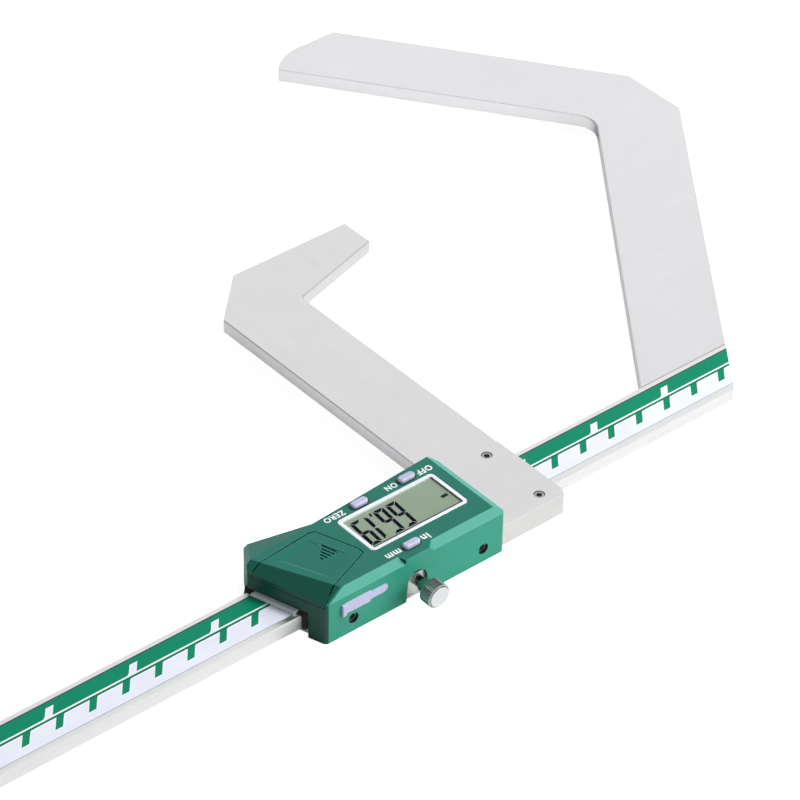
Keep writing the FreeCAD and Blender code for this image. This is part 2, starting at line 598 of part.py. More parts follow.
def make_housing(block):
    """Shell with the display opening, button holes, battery bay, arch, access holes and beam slot."""
    half = BASE_W / 2 + SEAT
    outline = base_outline(-SEAT)
    body = block.cut(prism(outline + [(60, half), (60, -half)], -5, CAVITY_FLOOR))
    body = body.cut(box(JAW_LEFT - 0.1, 60, -half, 60, -5, JAW_TOP + 0.06))
    cavity = room_form(0.0, CAVITY_FLOOR - 1, CAVITY_TOP)
    cavity = cavity.cut(box(-50, ROOM[0] - 0.01, -20, PORT_ROOM[2], BOARD_Z + BOARD_T + 2.2, 20))
    body = body.cut(cavity.cut(corner_posts(PLATE_SCREW_R * 2)))
    for x, y in PLATE_SCREWS:
        body = body.cut(many_sided(x, y, [(0, PLATE_SCREW_R + SEAT), (BASE_TOP + 3, PLATE_SCREW_R + SEAT)]))
    x0, x1, y0, y1 = FRAME
    body = body.cut(slab(x0 - SEAT, x1 + FRAME_GAP, y0 - SEAT, y1 + SEAT, CAVITY_TOP - 1, TOP + 1, 1.5))
    for x, y in BUTTONS.values():
        grow_x, grow_y = BUTTON_L / 2 + BUTTON_GAP, BUTTON_W / 2 + BUTTON_GAP
        body = body.cut(slab(x - grow_x, x + grow_x, y - grow_y, y + grow_y, 10, 20, 1.2))
    slot_half = BEAM_W / 2 + SLOT_SIDE
    slot = [(end_x(-slot_half) - 5, -slot_half), (end_x(-slot_half) + END_WALL, -slot_half),
            (end_x(slot_half) + END_WALL, slot_half), (end_x(slot_half) - 5, slot_half)]
    body = body.cut(prism(slot, -5, SLOT_TOP))
    body = body.cut(prism([(WING[0] - 0.5, FAR_Y - 0.1), (WING[0] + 0.6, WING[1] - 2.2), (BEND[0] - 3.9, FAR_Y - 0.7)],
                          -5, 9.0))
    bx, by = BATTERY_AT
    body = body.cut(cylinder(BATTERY_R + 0.15, (bx, by, BATTERY_Z - 0.4), (bx, by, 20)))
    body = body.cut(box(bx + 7.0, ROOM[0] + 0.1, by + 0.9, by + 4.7, BATTERY_Z - 0.4, COVER_FLOOR))
    body = body.cut(box(bx + 7.0, ROOM[0] + 0.1, by - 3.4, by - 0.4, BATTERY_Z - 0.4, BATTERY_Z + 0.2))
    body = body.cut(cover_region(COVER_GAP))
    arch_z = ARCH_TOP - ARCH_R
    inner = -BASE_W / 2 + 0.05
    body = body.cut(cylinder(ARCH_R, (ARCH_X, -20, arch_z), (ARCH_X, inner, arch_z)))
    foot = ARCH_R + ARCH_FLARE
    legs = [Vector(ARCH_X + dx, -20, z) for dx, z in ((-foot, -1), (foot, -1), (ARCH_R, arch_z), (-ARCH_R, arch_z))]
    body = body.cut(Part.Face(Part.makePolygon(legs + legs[:1])).extrude(Vector(0, 20 + inner, 0)))
    body = body.cut(box(PORT_X[0] + 7, PORT_X[1] - 2, NEAR_Y, PORT_ROOM[1] + 0.1, 8.1, 9.9))
    for x in GIB_SCREW_X:
        body = body.cut(cylinder(ACCESS_R, (x, NEAR_Y - 5, GIB_SCREW_Z), (x, 0.75 - HALF_BASE, GIB_SCREW_Z)))
    return body.cut(port_form(0.06, NEAR_Y - 1, NEAR_Y + PORT_DEPTH))


def room_form(inset, z0, z1):
    """Plan of the cavity and of the board in it, with the bay behind the port."""
    left, right, near, far_left, far_right = ROOM
    main = prism([(left + inset, near + inset), (right - inset, near + inset), (right - inset, far_right - inset),
                  (left + inset, far_left - inset)], z0, z1)
    bay = box(PORT_ROOM[0] + inset, left + 2, PORT_ROOM[1] + inset, PORT_ROOM[2] - inset, z0, z1)
    return main.fuse(bay)


def corner_posts(radius):
    """Material kept round the two right-hand screws, out to the cavity's corners."""
    posts = []
    for x, y in PLATE_SCREWS[2:]:
        posts.append(box(x - radius, x + 10, min(y - radius, 9 * y), max(y + radius, 9 * y), 0, 20))
    return posts[0].fuse(posts[1])


def cover_region(grow):
    """Room above the battery bay that the cover fills, wider by the gap."""
    centre = Vector(-18, 0, 0)
    outline = []
    for x, y in COVER_OUTLINE:
        away = (Vector(x, y, 0) - centre).normalize() * grow
        outline.append((x + away.x, y + away.y))
    upper = prism(outline, COVER_FLOOR - grow, 30)
    lip_depth = 1.3 + grow
    edge = [(end_x(y) + lip_depth, y) for y in (-30, 30)]
    lip = prism(outline, COVER_LIP - grow, 30).common(
        prism([(-80, -30), edge[0], edge[1], (-80, 30)], 0, 30))
    return upper.fuse(lip)


def make_battery_cover(block):
    """Flush cover that wraps over the sloped end, with a raised pad and an arrow of grooves."""
    cover = block.common(cover_region(0.0))
    cx = sum(p[0] for p in PAD_OUTLINE) / 4
    cy = sum(p[1] for p in PAD_OUTLINE) / 4
    sunk = 0.1
    rings = []
    for z, scale in ((TOP - sunk, 1 + PAD_TAPER * sunk / PAD_RISE), (TOP + PAD_RISE, 1 - PAD_TAPER)):
        corners = [Vector(cx + (x - cx) * scale, cy + (y - cy) * scale, z) for x, y in PAD_OUTLINE]
        rings.append(Part.makePolygon(corners + corners[:1]))
    cover = cover.fuse(Part.makeLoft(rings, True, True)).removeSplitter()
    for k, length in enumerate((5.0, 4.1, 3.2, 2.3, 1.2)):
        groove = box(-0.27, 0.27, -length / 2, length / 2, TOP + PAD_RISE - 0.4, TOP + 2)
        groove.rotate(Vector(0, 0, 0), Vector(0, 0, 1), 17)
        groove.translate(Vector(-13.45 - 0.97 * k, 0.9 - 0.4 * k, 0))
        cover = cover.cut(groove)
    return cover


def port_form(grow, y0, y1):
    """Stepped outline of the port plug, extruded along Y."""
    x0, x1 = PORT_X
    z0, z1 = PORT_Z
    s0, s1 = PORT_SLIM_Z
    r = (s1 - s0) / 2
    depth = y1 - y0
    wide = Part.makeBox(PORT_STEP_X - x0 + 2 * grow, depth, z1 - z0 + 2 * grow, Vector(x0 - grow, y0, z0 - grow))
    slim = Part.makeBox(x1 - r - PORT_STEP_X + 1, depth, s1 - s0 + 2 * grow, Vector(PORT_STEP_X - 1, y0, s0 - grow))
    nose = cylinder(r + grow, (x1 - r, y0, (s0 + s1) / 2), (x1 - r, y1, (s0 + s1) / 2))
    return wide.fuse([slim, nose]).removeSplitter()


def make_port_cover():
    face = NEAR_Y + 0.05
    plug = port_form(0.0, face, NEAR_Y + PORT_DEPTH - 0.05)
    lip = box(PORT_X[0], PORT_X[0] + 1.4, face - PORT_LIP, face + 0.3, PORT_Z[0], PORT_Z[1])
    lip = lip.makeFillet(0.3, [e for e in lip.Edges if level_y(e, face - PORT_LIP)])
    return plug.fuse(lip).removeSplitter()


def level_y(edge, y):
    return all(abs(vertex.Y - y) < 1e-4 for vertex in edge.Vertexes)


def make_port_contacts():
    """Contact carrier on the board's edge behind the plug."""
    x0 = PORT_X[0] + 7.1
    z0 = BOARD_Z + BOARD_T
    carrier = box(x0, x0 + 5.3, PORT_ROOM[1] + 0.15, PORT_ROOM[2] - 0.3, z0, z0 + 1.7)
    pins = [box(x0 + 0.5 + 1.2 * k, x0 + 1.1 + 1.2 * k, PORT_ROOM[1] - 0.4, PORT_ROOM[1] + 0.2, z0 + 0.4, z0 + 1.4)
            for k in range(4)]
    return [carrier.fuse(pins).removeSplitter()]


def make_display_frame():
    x0, x1, y0, y1 = FRAME
    top = TOP + FRAME_PROUD
    ring = slab(x0, x1, y0, y1, CAVITY_TOP, top, 1.4)
    ring = bevelled(ring, lambda e: level_edge(e, top), 0.12)
    w = FRAME_W
    return ring.cut(slab(x0 + w, x1 - w, y0 + w, y1 - w, 0, 20, 0.4))


def make_display_window():
    x0, x1, y0, y1 = FRAME
    w = FRAME_W + SEAT
    return slab(x0 + w, x1 - w, y0 + w, y1 - w, WINDOW_TOP - WINDOW_T, WINDOW_TOP, 0.4)


def make_lcd_panel():
    x0, x1, y0, y1 = FRAME
    return box(x0 - 0.4, x1 + 0.4, y0 - 0.6, y1 + 0.3, LCD_TOP - LCD_T, LCD_TOP)


def make_zebra_strips():
    x0, x1, y0, y1 = FRAME
    low, high = BOARD_Z + BOARD_T, LCD_TOP - LCD_T
    return [box(x0, x1, y0 - 0.3, y0 + 1.1, low, high), box(x0, x1, y1 - 1.1, y1 + 0.3, low, high)]


def make_circuit_board():
    board = room_form(0.15, BOARD_Z, BOARD_Z + BOARD_T)
    return board.cut(corner_posts(PLATE_SCREW_R * 2 + 0.15)).removeSplitter()


def make_board_parts():
    z = BOARD_Z + BOARD_T
    blob = many_sided(10.5, 1.0, [(z, 3.4), (z + 1.1, 2.2)])
    crystal = box(-3.6, 2.6, -3.4, -1.4, z, z + 1.5)
    pieces = [blob, crystal]
    for x, y in ((18.5, 3.0), (18.5, 0.2), (21.0, 3.0), (21.0, 0.2), (-2.0, 3.5)):
        pieces.append(box(x, x + 1.6, y, y + 0.8, z, z + 0.5))
    return pieces


def make_button_domes():
    z = BOARD_Z + BOARD_T
    return [many_sided(x, y, [(z, 1.4), (z + DOME_H, 0.9)]) for x, y in BUTTONS.values()]


def make_button(x, y):
    """Cap with bevelled top edges, a flange inside the housing and a stem over the dome."""
    top = TOP + BUTTON_PROUD
    cap = slab(x - BUTTON_L / 2, x + BUTTON_L / 2, y - BUTTON_W / 2, y + BUTTON_W / 2, 12.0, top, 1.05)
    cap = bevelled(cap, lambda e: level_edge(e, top), 0.35)
    flange = box(x - FLANGE_L / 2, x + FLANGE_L / 2, y - FLANGE_W / 2, y + FLANGE_W / 2, 12.0, CAVITY_TOP - 0.1)
    stem = box(x - 0.7, x + 0.7, y - 0.7, y + 0.7, BOARD_Z + BOARD_T + DOME_H + BUTTON_TRAVEL + 0.05, 12.2)
    return cap.fuse([flange, stem]).removeSplitter()


def make_battery():
    x, y = BATTERY_AT
    top = BATTERY_Z + BATTERY_H
    return many_sided(x, y, [(BATTERY_Z, BATTERY_R - 0.8), (BATTERY_Z + 0.5, BATTERY_R), (top - 0.25, BATTERY_R),
                             (top, BATTERY_R - 0.25)], 40)


def make_battery_contacts():
    x, y = BATTERY_AT
    z0 = BATTERY_Z - 0.35
    right = ROOM[0] + 1.5
    low = box(x - 2.5, right, y - 3.2, y - 0.6, z0, z0 + 0.3)
    blade = box(x + BATTERY_R + 0.1, x + BATTERY_R + 0.4, y + 1.1, y + 4.5, z0, BATTERY_Z + BATTERY_H - 0.1)
    foot = box(x + BATTERY_R + 0.1, right, y + 1.6, y + 4.0, z0, z0 + 0.3)
    return [low, blade.fuse(foot).removeSplitter()]


def main():
    block = housing_block()
    save("beam", make_beam())
    save("scale_grid", make_scale_grid())
    save("scale_label", make_scale_label())
    save("fixed_jaw", make_fixed_jaw())
    save("jaw_rivets", *make_jaw_rivets())
    save("end_stop", make_end_stop())
    save("end_stop_screws", *make_end_stop_screws())
    save("slider_base", make_slider_base())
    save("sliding_jaw", make_sliding_jaw())
    save("jaw_screws", *make_jaw_screws())
    save("gib_strip", make_gib_strip())
    save("gib_screws", *make_gib_screws())
    save("lock_pad", make_lock_pad())
    save("lock_screw", make_lock_screw())
    save("bottom_plate", make_bottom_plate())
    save("plate_screws", *make_plate_screws())
    save("wiper_strip", make_wiper_strip())
    save("felt_seal", make_felt_seal())
    save("housing", make_housing(block))
    save("battery_cover", make_battery_cover(block))
    save("port_cover", make_port_cover())
    save("port_contacts", *make_port_contacts())
    save("display_frame", make_display_frame())
    save("display_window", make_display_window())
    save("lcd_panel", make_lcd_panel())
    save("zebra_strips", *make_zebra_strips())
    save("circuit_board", make_circuit_board())
    save("board_parts", *make_board_parts())
    save("button_domes", *make_button_domes())
    for name, (x, y) in BUTTONS.items():
        save(name, make_button(x, y))
    save("battery", make_battery())
    save("battery_contacts", *make_battery_contacts())


main()
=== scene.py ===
from math import cos, radians, sin, tan

import bmesh
import bpy
from mathutils import Matrix, Vector


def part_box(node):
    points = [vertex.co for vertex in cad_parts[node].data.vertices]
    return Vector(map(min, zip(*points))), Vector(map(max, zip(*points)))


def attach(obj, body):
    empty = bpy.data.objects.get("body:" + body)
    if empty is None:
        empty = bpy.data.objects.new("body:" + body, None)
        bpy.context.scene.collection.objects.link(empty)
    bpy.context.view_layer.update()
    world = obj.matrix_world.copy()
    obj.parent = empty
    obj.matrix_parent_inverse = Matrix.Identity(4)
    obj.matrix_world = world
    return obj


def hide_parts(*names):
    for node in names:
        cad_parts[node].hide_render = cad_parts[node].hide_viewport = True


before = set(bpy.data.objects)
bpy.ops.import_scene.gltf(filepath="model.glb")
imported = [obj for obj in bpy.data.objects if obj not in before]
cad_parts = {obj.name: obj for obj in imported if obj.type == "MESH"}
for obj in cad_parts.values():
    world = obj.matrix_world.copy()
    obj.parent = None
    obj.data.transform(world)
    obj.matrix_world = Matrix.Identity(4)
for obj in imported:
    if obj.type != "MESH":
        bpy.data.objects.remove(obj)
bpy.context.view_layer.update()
MM = 0.001

# Places of the CAD pieces that the added ones sit on, in millimetres
LABEL_TOP, LABEL_HALF, LABEL_LEFT = 7.2, 6.25, -173.9
HOUSING_TOP = 14.3
PANEL_TOP = 12.95                   # the display panel, under the scene's glass
END_X = 125.3                       # the beam's oblique end on the centre line
END_LEAN = 1 / tan(radians(53.2))
BUTTON_CAP = (5.2, 2.2)             # length and width

# Limits of the cover's recesses, in metres: inside its outer walls and above its foot
COVER_LEAN = 0.32                   # the cover's end face runs along x + COVER_LEAN * y
RECESS_END, RECESS_RIGHT = -0.0308, 0.0318
RECESS_NEAR, RECESS_FAR, RECESS_FLOOR = -0.01405, 0.0139, 0.005
WING_X, WING_Y = -0.005, 0.0099     # the walls of the thumb wing are outer ones
BEVEL_FOOT, BEVEL_TOP_Y = 0.0128, -0.0117   # and so are the ends of the near bevel
SCREW_HOLES = (-0.0179, 0.0250)
HOLE_ROOM, HOLE_DEPTH, HOLE_TOP = 0.002, -0.008, 0.0095
UPRIGHT, SIDEWAYS = 0.25, 0.3       # how far a normal may turn up, or to the near or far side
STEEP_FROM, STEEP_TO = 0.5, 0.9     # from the sloped end to the upright one


# Shader nodes and groups

def new_group(name, inputs, outputs, kind="ShaderNodeTree"):
    """Empty node group with named sockets and their starting values."""
    group = bpy.data.node_groups.new(name, kind)
    for label, socket_kind, value in inputs:
        socket = group.interface.new_socket(label, in_out="INPUT", socket_type="NodeSocket" + socket_kind)
        if value is not None:
            socket.default_value = value
    for label, socket_kind in outputs:
        group.interface.new_socket(label, in_out="OUTPUT", socket_type="NodeSocket" + socket_kind)
    return group, group.nodes.new("NodeGroupInput"), group.nodes.new("NodeGroupOutput")


def feed(tree, value, socket):
    """Link an output to an input socket, or set the socket to a value."""
    if isinstance(value, bpy.types.NodeSocket):
        tree.links.new(value, socket)
    else:
        socket.default_value = value


def add(tree, kind, **values):
    """Add a node; keyword values are properties or, with the i_ prefix, inputs by name or number."""
    node = tree.nodes.new(kind)
    for key, value in values.items():
        if key.startswith("i_"):
            name = key[2:].replace("_", " ")
            feed(tree, value, node.inputs[int(name) if name.isdigit() else name])
        else:
            setattr(node, key, value)
    return node


def math_node(tree, operation, *values, clamp=False):
    inputs = {f"i_{k}": value for k, value in enumerate(values)}
    return add(tree, "ShaderNodeMath", operation=operation, use_clamp=clamp, **inputs).outputs[0]


def smooth_step(tree, value, low, high):
    """Soft change from 0 at low to 1 at high."""
    return add(tree, "ShaderNodeMapRange", interpolation_type="SMOOTHSTEP", i_Value=value,
               i_From_Min=low, i_From_Max=high).outputs[0]


def axes_of(tree, kind, output):
    """X, Y and Z of a vector that a node puts out."""
    split = add(tree, "ShaderNodeSeparateXYZ", i_0=add(tree, kind).outputs[output])
    return tuple(split.outputs)


def build_edge_group():
    """Mask that is 1 on outer edges and 0 on flat faces: edges that are worn and also carry a painted
    highlight.
    """
    group, start, end = new_group("edge_wear_and_highlight", [("Width", "Float", 0.0002), ("Breakup", "Float", 0.5)],
                                  [("Mask", "Float")])
    rounded = add(group, "ShaderNodeBevel", samples=4, i_Radius=start.outputs["Width"])
    geometry = add(group, "ShaderNodeNewGeometry")
    dot = add(group, "ShaderNodeVectorMath", operation="DOT_PRODUCT", i_0=rounded.outputs[0],
              i_1=geometry.outputs["Normal"])
    bend = math_node(group, "SUBTRACT", 1.0, dot.outputs["Value"])
    strong = math_node(group, "MULTIPLY", bend, 6.0, clamp=True)
    coords = add(group, "ShaderNodeTexCoord")
    noise = add(group, "ShaderNodeTexNoise", i_Vector=coords.outputs["Object"], i_Scale=900.0, i_Detail=3.0)
    less = math_node(group, "MULTIPLY", noise.outputs["Fac"], start.outputs["Breakup"])
    feed(group, math_node(group, "SUBTRACT", strong, less, clamp=True), end.inputs["Mask"])
    return group


ALONG_X = (60.0, 4000.0, 4000.0)    # stretch of the grain that makes lines along X


def build_grain_group():
    """Ground metal: fine lines along one direction, with slow cloudiness over them."""
    group, start, end = new_group("ground_grain", [("Stretch", "Vector", ALONG_X), ("Turn", "Float", 0.0)],
                                  [("Lines", "Float"), ("Clouds", "Float")])
    coords = add(group, "ShaderNodeTexCoord")
    turn = add(group, "ShaderNodeVectorRotate", rotation_type="Z_AXIS", i_Vector=coords.outputs["Object"],
               i_Angle=start.outputs["Turn"])
    scale = add(group, "ShaderNodeVectorMath", operation="MULTIPLY", i_0=turn.outputs[0],
                i_1=start.outputs["Stretch"])
    lines = add(group, "ShaderNodeTexNoise", i_Vector=scale.outputs[0], i_Scale=1.0, i_Detail=4.0,
                i_Roughness=0.7)
    clouds = add(group, "ShaderNodeTexNoise", i_Vector=turn.outputs[0], i_Scale=70.0, i_Detail=3.0,
                 i_Roughness=0.55)
    feed(group, lines.outputs["Fac"], end.inputs["Lines"])
    feed(group, clouds.outputs["Fac"], end.inputs["Clouds"])
    return group


def build_mould_group():
    """Moulded plastic: spark-eroded grain for the bump and a slow drift in tone."""
    group, start, end = new_group("moulded_grain", [("Grain", "Float", 9000.0), ("Drift", "Float", 60.0)],
                                  [("Height", "Float"), ("Tone", "Float")])
    coords = add(group, "ShaderNodeTexCoord")
    for scale, detail, rough, result in (("Grain", 2.0, 0.6, "Height"), ("Drift", 3.0, 0.5, "Tone")):
        noise = add(group, "ShaderNodeTexNoise", i_Vector=coords.outputs["Object"],
                    i_Scale=start.outputs[scale], i_Detail=detail, i_Roughness=rough)
        feed(group, noise.outputs["Fac"], end.inputs[result])
    return group


def build_end_shade_group():
    """Mask for the faces that look towards the beam's left end, where shade is painted on, and how steep
    they stand.
    """
    group, start, end = new_group("painted_end_shade", [("From", "Float", 0.12), ("To", "Float", 0.18)],
                                  [("Mask", "Float"), ("Steep", "Float")])
    x, y, _ = axes_of(group, "ShaderNodeNewGeometry", "Normal")
    left = math_node(group, "MULTIPLY", x, -1.0)
    not_far = math_node(group, "LESS_THAN", y, SIDEWAYS)
    step = smooth_step(group, left, start.outputs["From"], start.outputs["To"])
    feed(group, math_node(group, "MULTIPLY", step, not_far), end.inputs["Mask"])
    feed(group, smooth_step(group, left, STEEP_FROM, STEEP_TO), end.inputs["Steep"])
    return group


def build_level_group():
    """Mask for the faces of a moulding that look up, by how level they lie; it carries the painted shade of
    the tops and the painted sheen of the bevels.
    """
    group, start, end = new_group("painted_light_by_facing", [("From", "Float", 0.900), ("To", "Float", 0.905)],
                                  [("Mask", "Float")])
    up = axes_of(group, "ShaderNodeNewGeometry", "Normal")[2]
    feed(group, smooth_step(group, up, start.outputs["From"], start.outputs["To"]), end.inputs["Mask"])
    return group


def build_turned_shade_group():
    """Mask for the sides of a piece turned round an axis along Y, where shade is painted on."""
    group, start, end = new_group("painted_shade_on_turned_sides", [("From", "Float", 0.95), ("To", "Float", 0.80)],
                                  [("Mask", "Float")])
    along = math_node(group, "ABSOLUTE", axes_of(group, "ShaderNodeNewGeometry", "True Normal")[1])
    feed(group, smooth_step(group, along, start.outputs["From"], start.outputs["To"]), end.inputs["Mask"])
    return group


def build_shaded_recess_group():
    """Mask for the walls inside the cover's joints, slots and screw holes, where shade is painted near
    black.
    """
    group, _, end = new_group("painted_recess_shade", [], [("Mask", "Float")])
    x, y, z = axes_of(group, "ShaderNodeTexCoord", "Object")
    _, sideways, up = axes_of(group, "ShaderNodeNewGeometry", "True Normal")

    def above(value, limit):
        return math_node(group, "GREATER_THAN", value, limit)

    def below(value, limit):
        return math_node(group, "LESS_THAN", value, limit)

    def size(value):
        return math_node(group, "ABSOLUTE", value)

    def join(operation, *masks):
        """One mask out of several: MULTIPLY asks for all of them, MAXIMUM for any."""
        result = masks[0]
        for mask in masks[1:]:
            result = math_node(group, operation, result, mask)
        return result

    to_end = math_node(group, "ADD", x, math_node(group, "MULTIPLY", y, COVER_LEAN))
    past_near = above(y, RECESS_NEAR)
    off_wing = join("MAXIMUM", below(y, WING_Y), above(x, WING_X))
    off_bevel = join("MAXIMUM", below(z, BEVEL_FOOT), above(y, BEVEL_TOP_Y))
    slots = join("MULTIPLY", below(size(up), UPRIGHT), above(to_end, RECESS_END), past_near,
                 below(y, RECESS_FAR), off_wing, below(x, RECESS_RIGHT), off_bevel, above(z, RECESS_FLOOR))
    in_hole = join("MAXIMUM", *(below(size(math_node(group, "SUBTRACT", x, centre)), HOLE_ROOM)
                                for centre in SCREW_HOLES))
    holes = join("MULTIPLY", in_hole, below(size(sideways), SIDEWAYS), past_near, below(y, HOLE_DEPTH),
                 below(z, HOLE_TOP))
    feed(group, join("MAXIMUM", slots, holes), end.inputs["Mask"])
    return group


EDGE = build_edge_group()
FACING_LIGHT = build_level_group()
SHADED_RECESS = build_shaded_recess_group()
GRAIN = build_grain_group()
MOULD = build_mould_group()
END_SHADE = build_end_shade_group()
TURNED_SHADE = build_turned_shade_group()


# Materials

NOISE_LOW, NOISE_HIGH = 0.3, 0.7    # span that a noise mostly keeps to
EDGE_WIDTH = 0.00025
GRAIN_DEPTH, PRINT_DEPTH = 0.000004, 0.000001


def new_material(name):
    material = bpy.data.materials.new(name)
    material.use_nodes = True
    tree = material.node_tree
    shader = next(n for n in tree.nodes if n.type == "BSDF_PRINCIPLED")
    return material, tree, shader


def place_group(tree, group, **values):
    """Place a shader group; keyword values are its inputs."""
    inputs = {"i_" + key: value for key, value in values.items()}
    return add(tree, "ShaderNodeGroup", node_tree=group, **inputs)


def shade(tone, factor):
    """Tone made paler or darker, up to full white."""
    return tuple(min(1.0, c * factor) for c in tone)


def ramp(tree, factor, low, high, at=(0.35, 0.65)):
    """Colour between two tones, driven by a factor."""
    node = add(tree, "ShaderNodeValToRGB", i_0=factor)
    for element, place, tone in zip(node.color_ramp.elements, at, (low, high)):
        element.position = place
        element.color = (*tone, 1)
    return node.outputs[0]


def blend_colour(tree, factor, first, second):
    """Mix of two colours, each of them a tone or an output."""
    node = add(tree, "ShaderNodeMix", data_type="RGBA", i_Factor=factor)
    for socket, value in ((node.inputs[6], first), (node.inputs[7], second)):
        feed(tree, (*value, 1) if isinstance(value, tuple) else value, socket)
    return node.outputs[2]


def finish_over(tree, base, group, tone, **limits):
    """Another tone where a group's mask is 1; without a tone the base stays as it is."""
    if tone is None:
        return base
    return blend_colour(tree, place_group(tree, group, **limits).outputs["Mask"], base, tone)


def spread(tree, factor, low, high):
    """Value between low and high, driven by a noise."""
    return add(tree, "ShaderNodeMapRange", i_Value=factor, i_From_Min=NOISE_LOW, i_From_Max=NOISE_HIGH,
               i_To_Min=low, i_To_Max=high).outputs[0]


def bump(tree, shader, height, distance, strength):
    node = add(tree, "ShaderNodeBump", i_Strength=strength, i_Distance=distance, i_Height=height)
    feed(tree, node.outputs[0], shader.inputs["Normal"])


def ground_steel(name, tone, rough, turn=0.0, stretch=ALONG_X, edge=EDGE_WIDTH, turned_side_shade=None):
    """Surface-ground metal with its grain along one direction and brighter edges, partly wear and partly
    painted highlight.
    """
    material, tree, shader = new_material(name)
    grain = place_group(tree, GRAIN, Stretch=stretch, Turn=turn).outputs
    colour = ramp(tree, grain["Lines"], shade(tone, 0.95), shade(tone, 1.05))
    colour = blend_colour(tree, spread(tree, grain["Clouds"], 0.0, 0.35), colour, shade(tone, 1.06))
    # Painted shade: the turned sides are made darker.
    colour = finish_over(tree, colour, TURNED_SHADE, turned_side_shade)
    # Brighter edges: partly wear, partly painted highlight.
    colour = finish_over(tree, colour, EDGE, shade(tone, 1.2), Width=edge, Breakup=0.4)
    feed(tree, colour, shader.inputs["Base Color"])
    feed(tree, spread(tree, grain["Lines"], rough - 0.06, rough + 0.08), shader.inputs["Roughness"])
    shader.inputs["Metallic"].default_value = 1.0
    bump(tree, shader, grain["Lines"], GRAIN_DEPTH, 0.6)
    return material


def moulded(name, tone, rough, edge_tone, grain=9000.0, depth=GRAIN_DEPTH, painted_end_shades=None, painted_top_shade=None,
            painted_bevel_sheen=None, recess_shade=None, gloss=0.5):
    """Moulded plastic: fine grain, slow drift in tone, lighter edges that are partly wear and partly painted
    highlight and, where asked, painted light and shade by face: darker tops and ends, paler bevels and
    near-black recess walls.
    """
    material, tree, shader = new_material(name)
    mould = place_group(tree, MOULD, Grain=grain, Drift=60.0).outputs
    colour = ramp(tree, mould["Tone"], shade(tone, 0.94), shade(tone, 1.06))
    # Painted sheen: the bevels, which lean halfway up, are made paler.
    colour = finish_over(tree, colour, FACING_LIGHT, painted_bevel_sheen, From=0.78, To=0.82)
    # Painted shade: the level tops are made darker than the sides.
    colour = finish_over(tree, colour, FACING_LIGHT, painted_top_shade)
    # Lighter edges: partly wear, partly painted highlight.
    colour = finish_over(tree, colour, EDGE, edge_tone, Width=EDGE_WIDTH, Breakup=0.3)
    # Painted shade: the faces at the left end, sloped and upright, are made darker.
    if painted_end_shades:
        slope_shade, upright_shade = painted_end_shades
        end_mask = place_group(tree, END_SHADE).outputs
        ends = blend_colour(tree, end_mask["Steep"], slope_shade, upright_shade)
        colour = blend_colour(tree, end_mask["Mask"], colour, ends)
    # Painted shade: the walls inside joints, slots and screw holes go near black.
    colour = finish_over(tree, colour, SHADED_RECESS, recess_shade)
    feed(tree, colour, shader.inputs["Base Color"])
    feed(tree, spread(tree, mould["Tone"], rough - 0.04, rough + 0.05), shader.inputs["Roughness"])
    shader.inputs["Specular IOR Level"].default_value = gloss
    bump(tree, shader, mould["Height"], depth, 0.5)
    return material


def printed(name, tone, rough=0.35, gloss=0.5):
    """Thin print or paint on a smooth face."""
    material, tree, shader = new_material(name)
    mould = place_group(tree, MOULD, Grain=14000.0, Drift=90.0).outputs
    feed(tree, ramp(tree, mould["Tone"], shade(tone, 0.97), shade(tone, 1.03)), shader.inputs["Base Color"])
    feed(tree, spread(tree, mould["Height"], rough - 0.05, rough + 0.05), shader.inputs["Roughness"])
    shader.inputs["Specular IOR Level"].default_value = gloss
    bump(tree, shader, mould["Height"], PRINT_DEPTH, 0.3)
    return material


def clear_window():
    """Clear plastic window: mostly see-through, with a thin gloss."""
    material, tree, shader = new_material("clear_window")
    tone = place_group(tree, MOULD, Grain=3000.0, Drift=80.0).outputs["Tone"]
    feed(tree, ramp(tree, tone, (0.05, 0.06, 0.06), (0.07, 0.08, 0.08)), shader.inputs["Base Color"])
    feed(tree, spread(tree, tone, 0.03, 0.07), shader.inputs["Roughness"])
    shader.inputs["Alpha"].default_value = 0.02
    shader.inputs["Specular IOR Level"].default_value = 0.4
    return material


COVER_GREEN = (0.027, 0.308, 0.203)
# Near black of the painted shade inside the cover's joints, slots and holes
RECESS_SHADE_DARK = (0.001, 0.003, 0.003)
LABEL_WHITE = (0.84, 0.87, 1.0)
PLAIN_STEEL, BRIGHT_STEEL = (0.6, 0.6, 0.62), (0.86, 0.86, 0.88)
BRASS = (0.8, 0.62, 0.3)
# White of edges that are worn and also carry a painted highlight
WORN_AND_HIGHLIGHT_WHITE = (0.95, 0.96, 1.0)

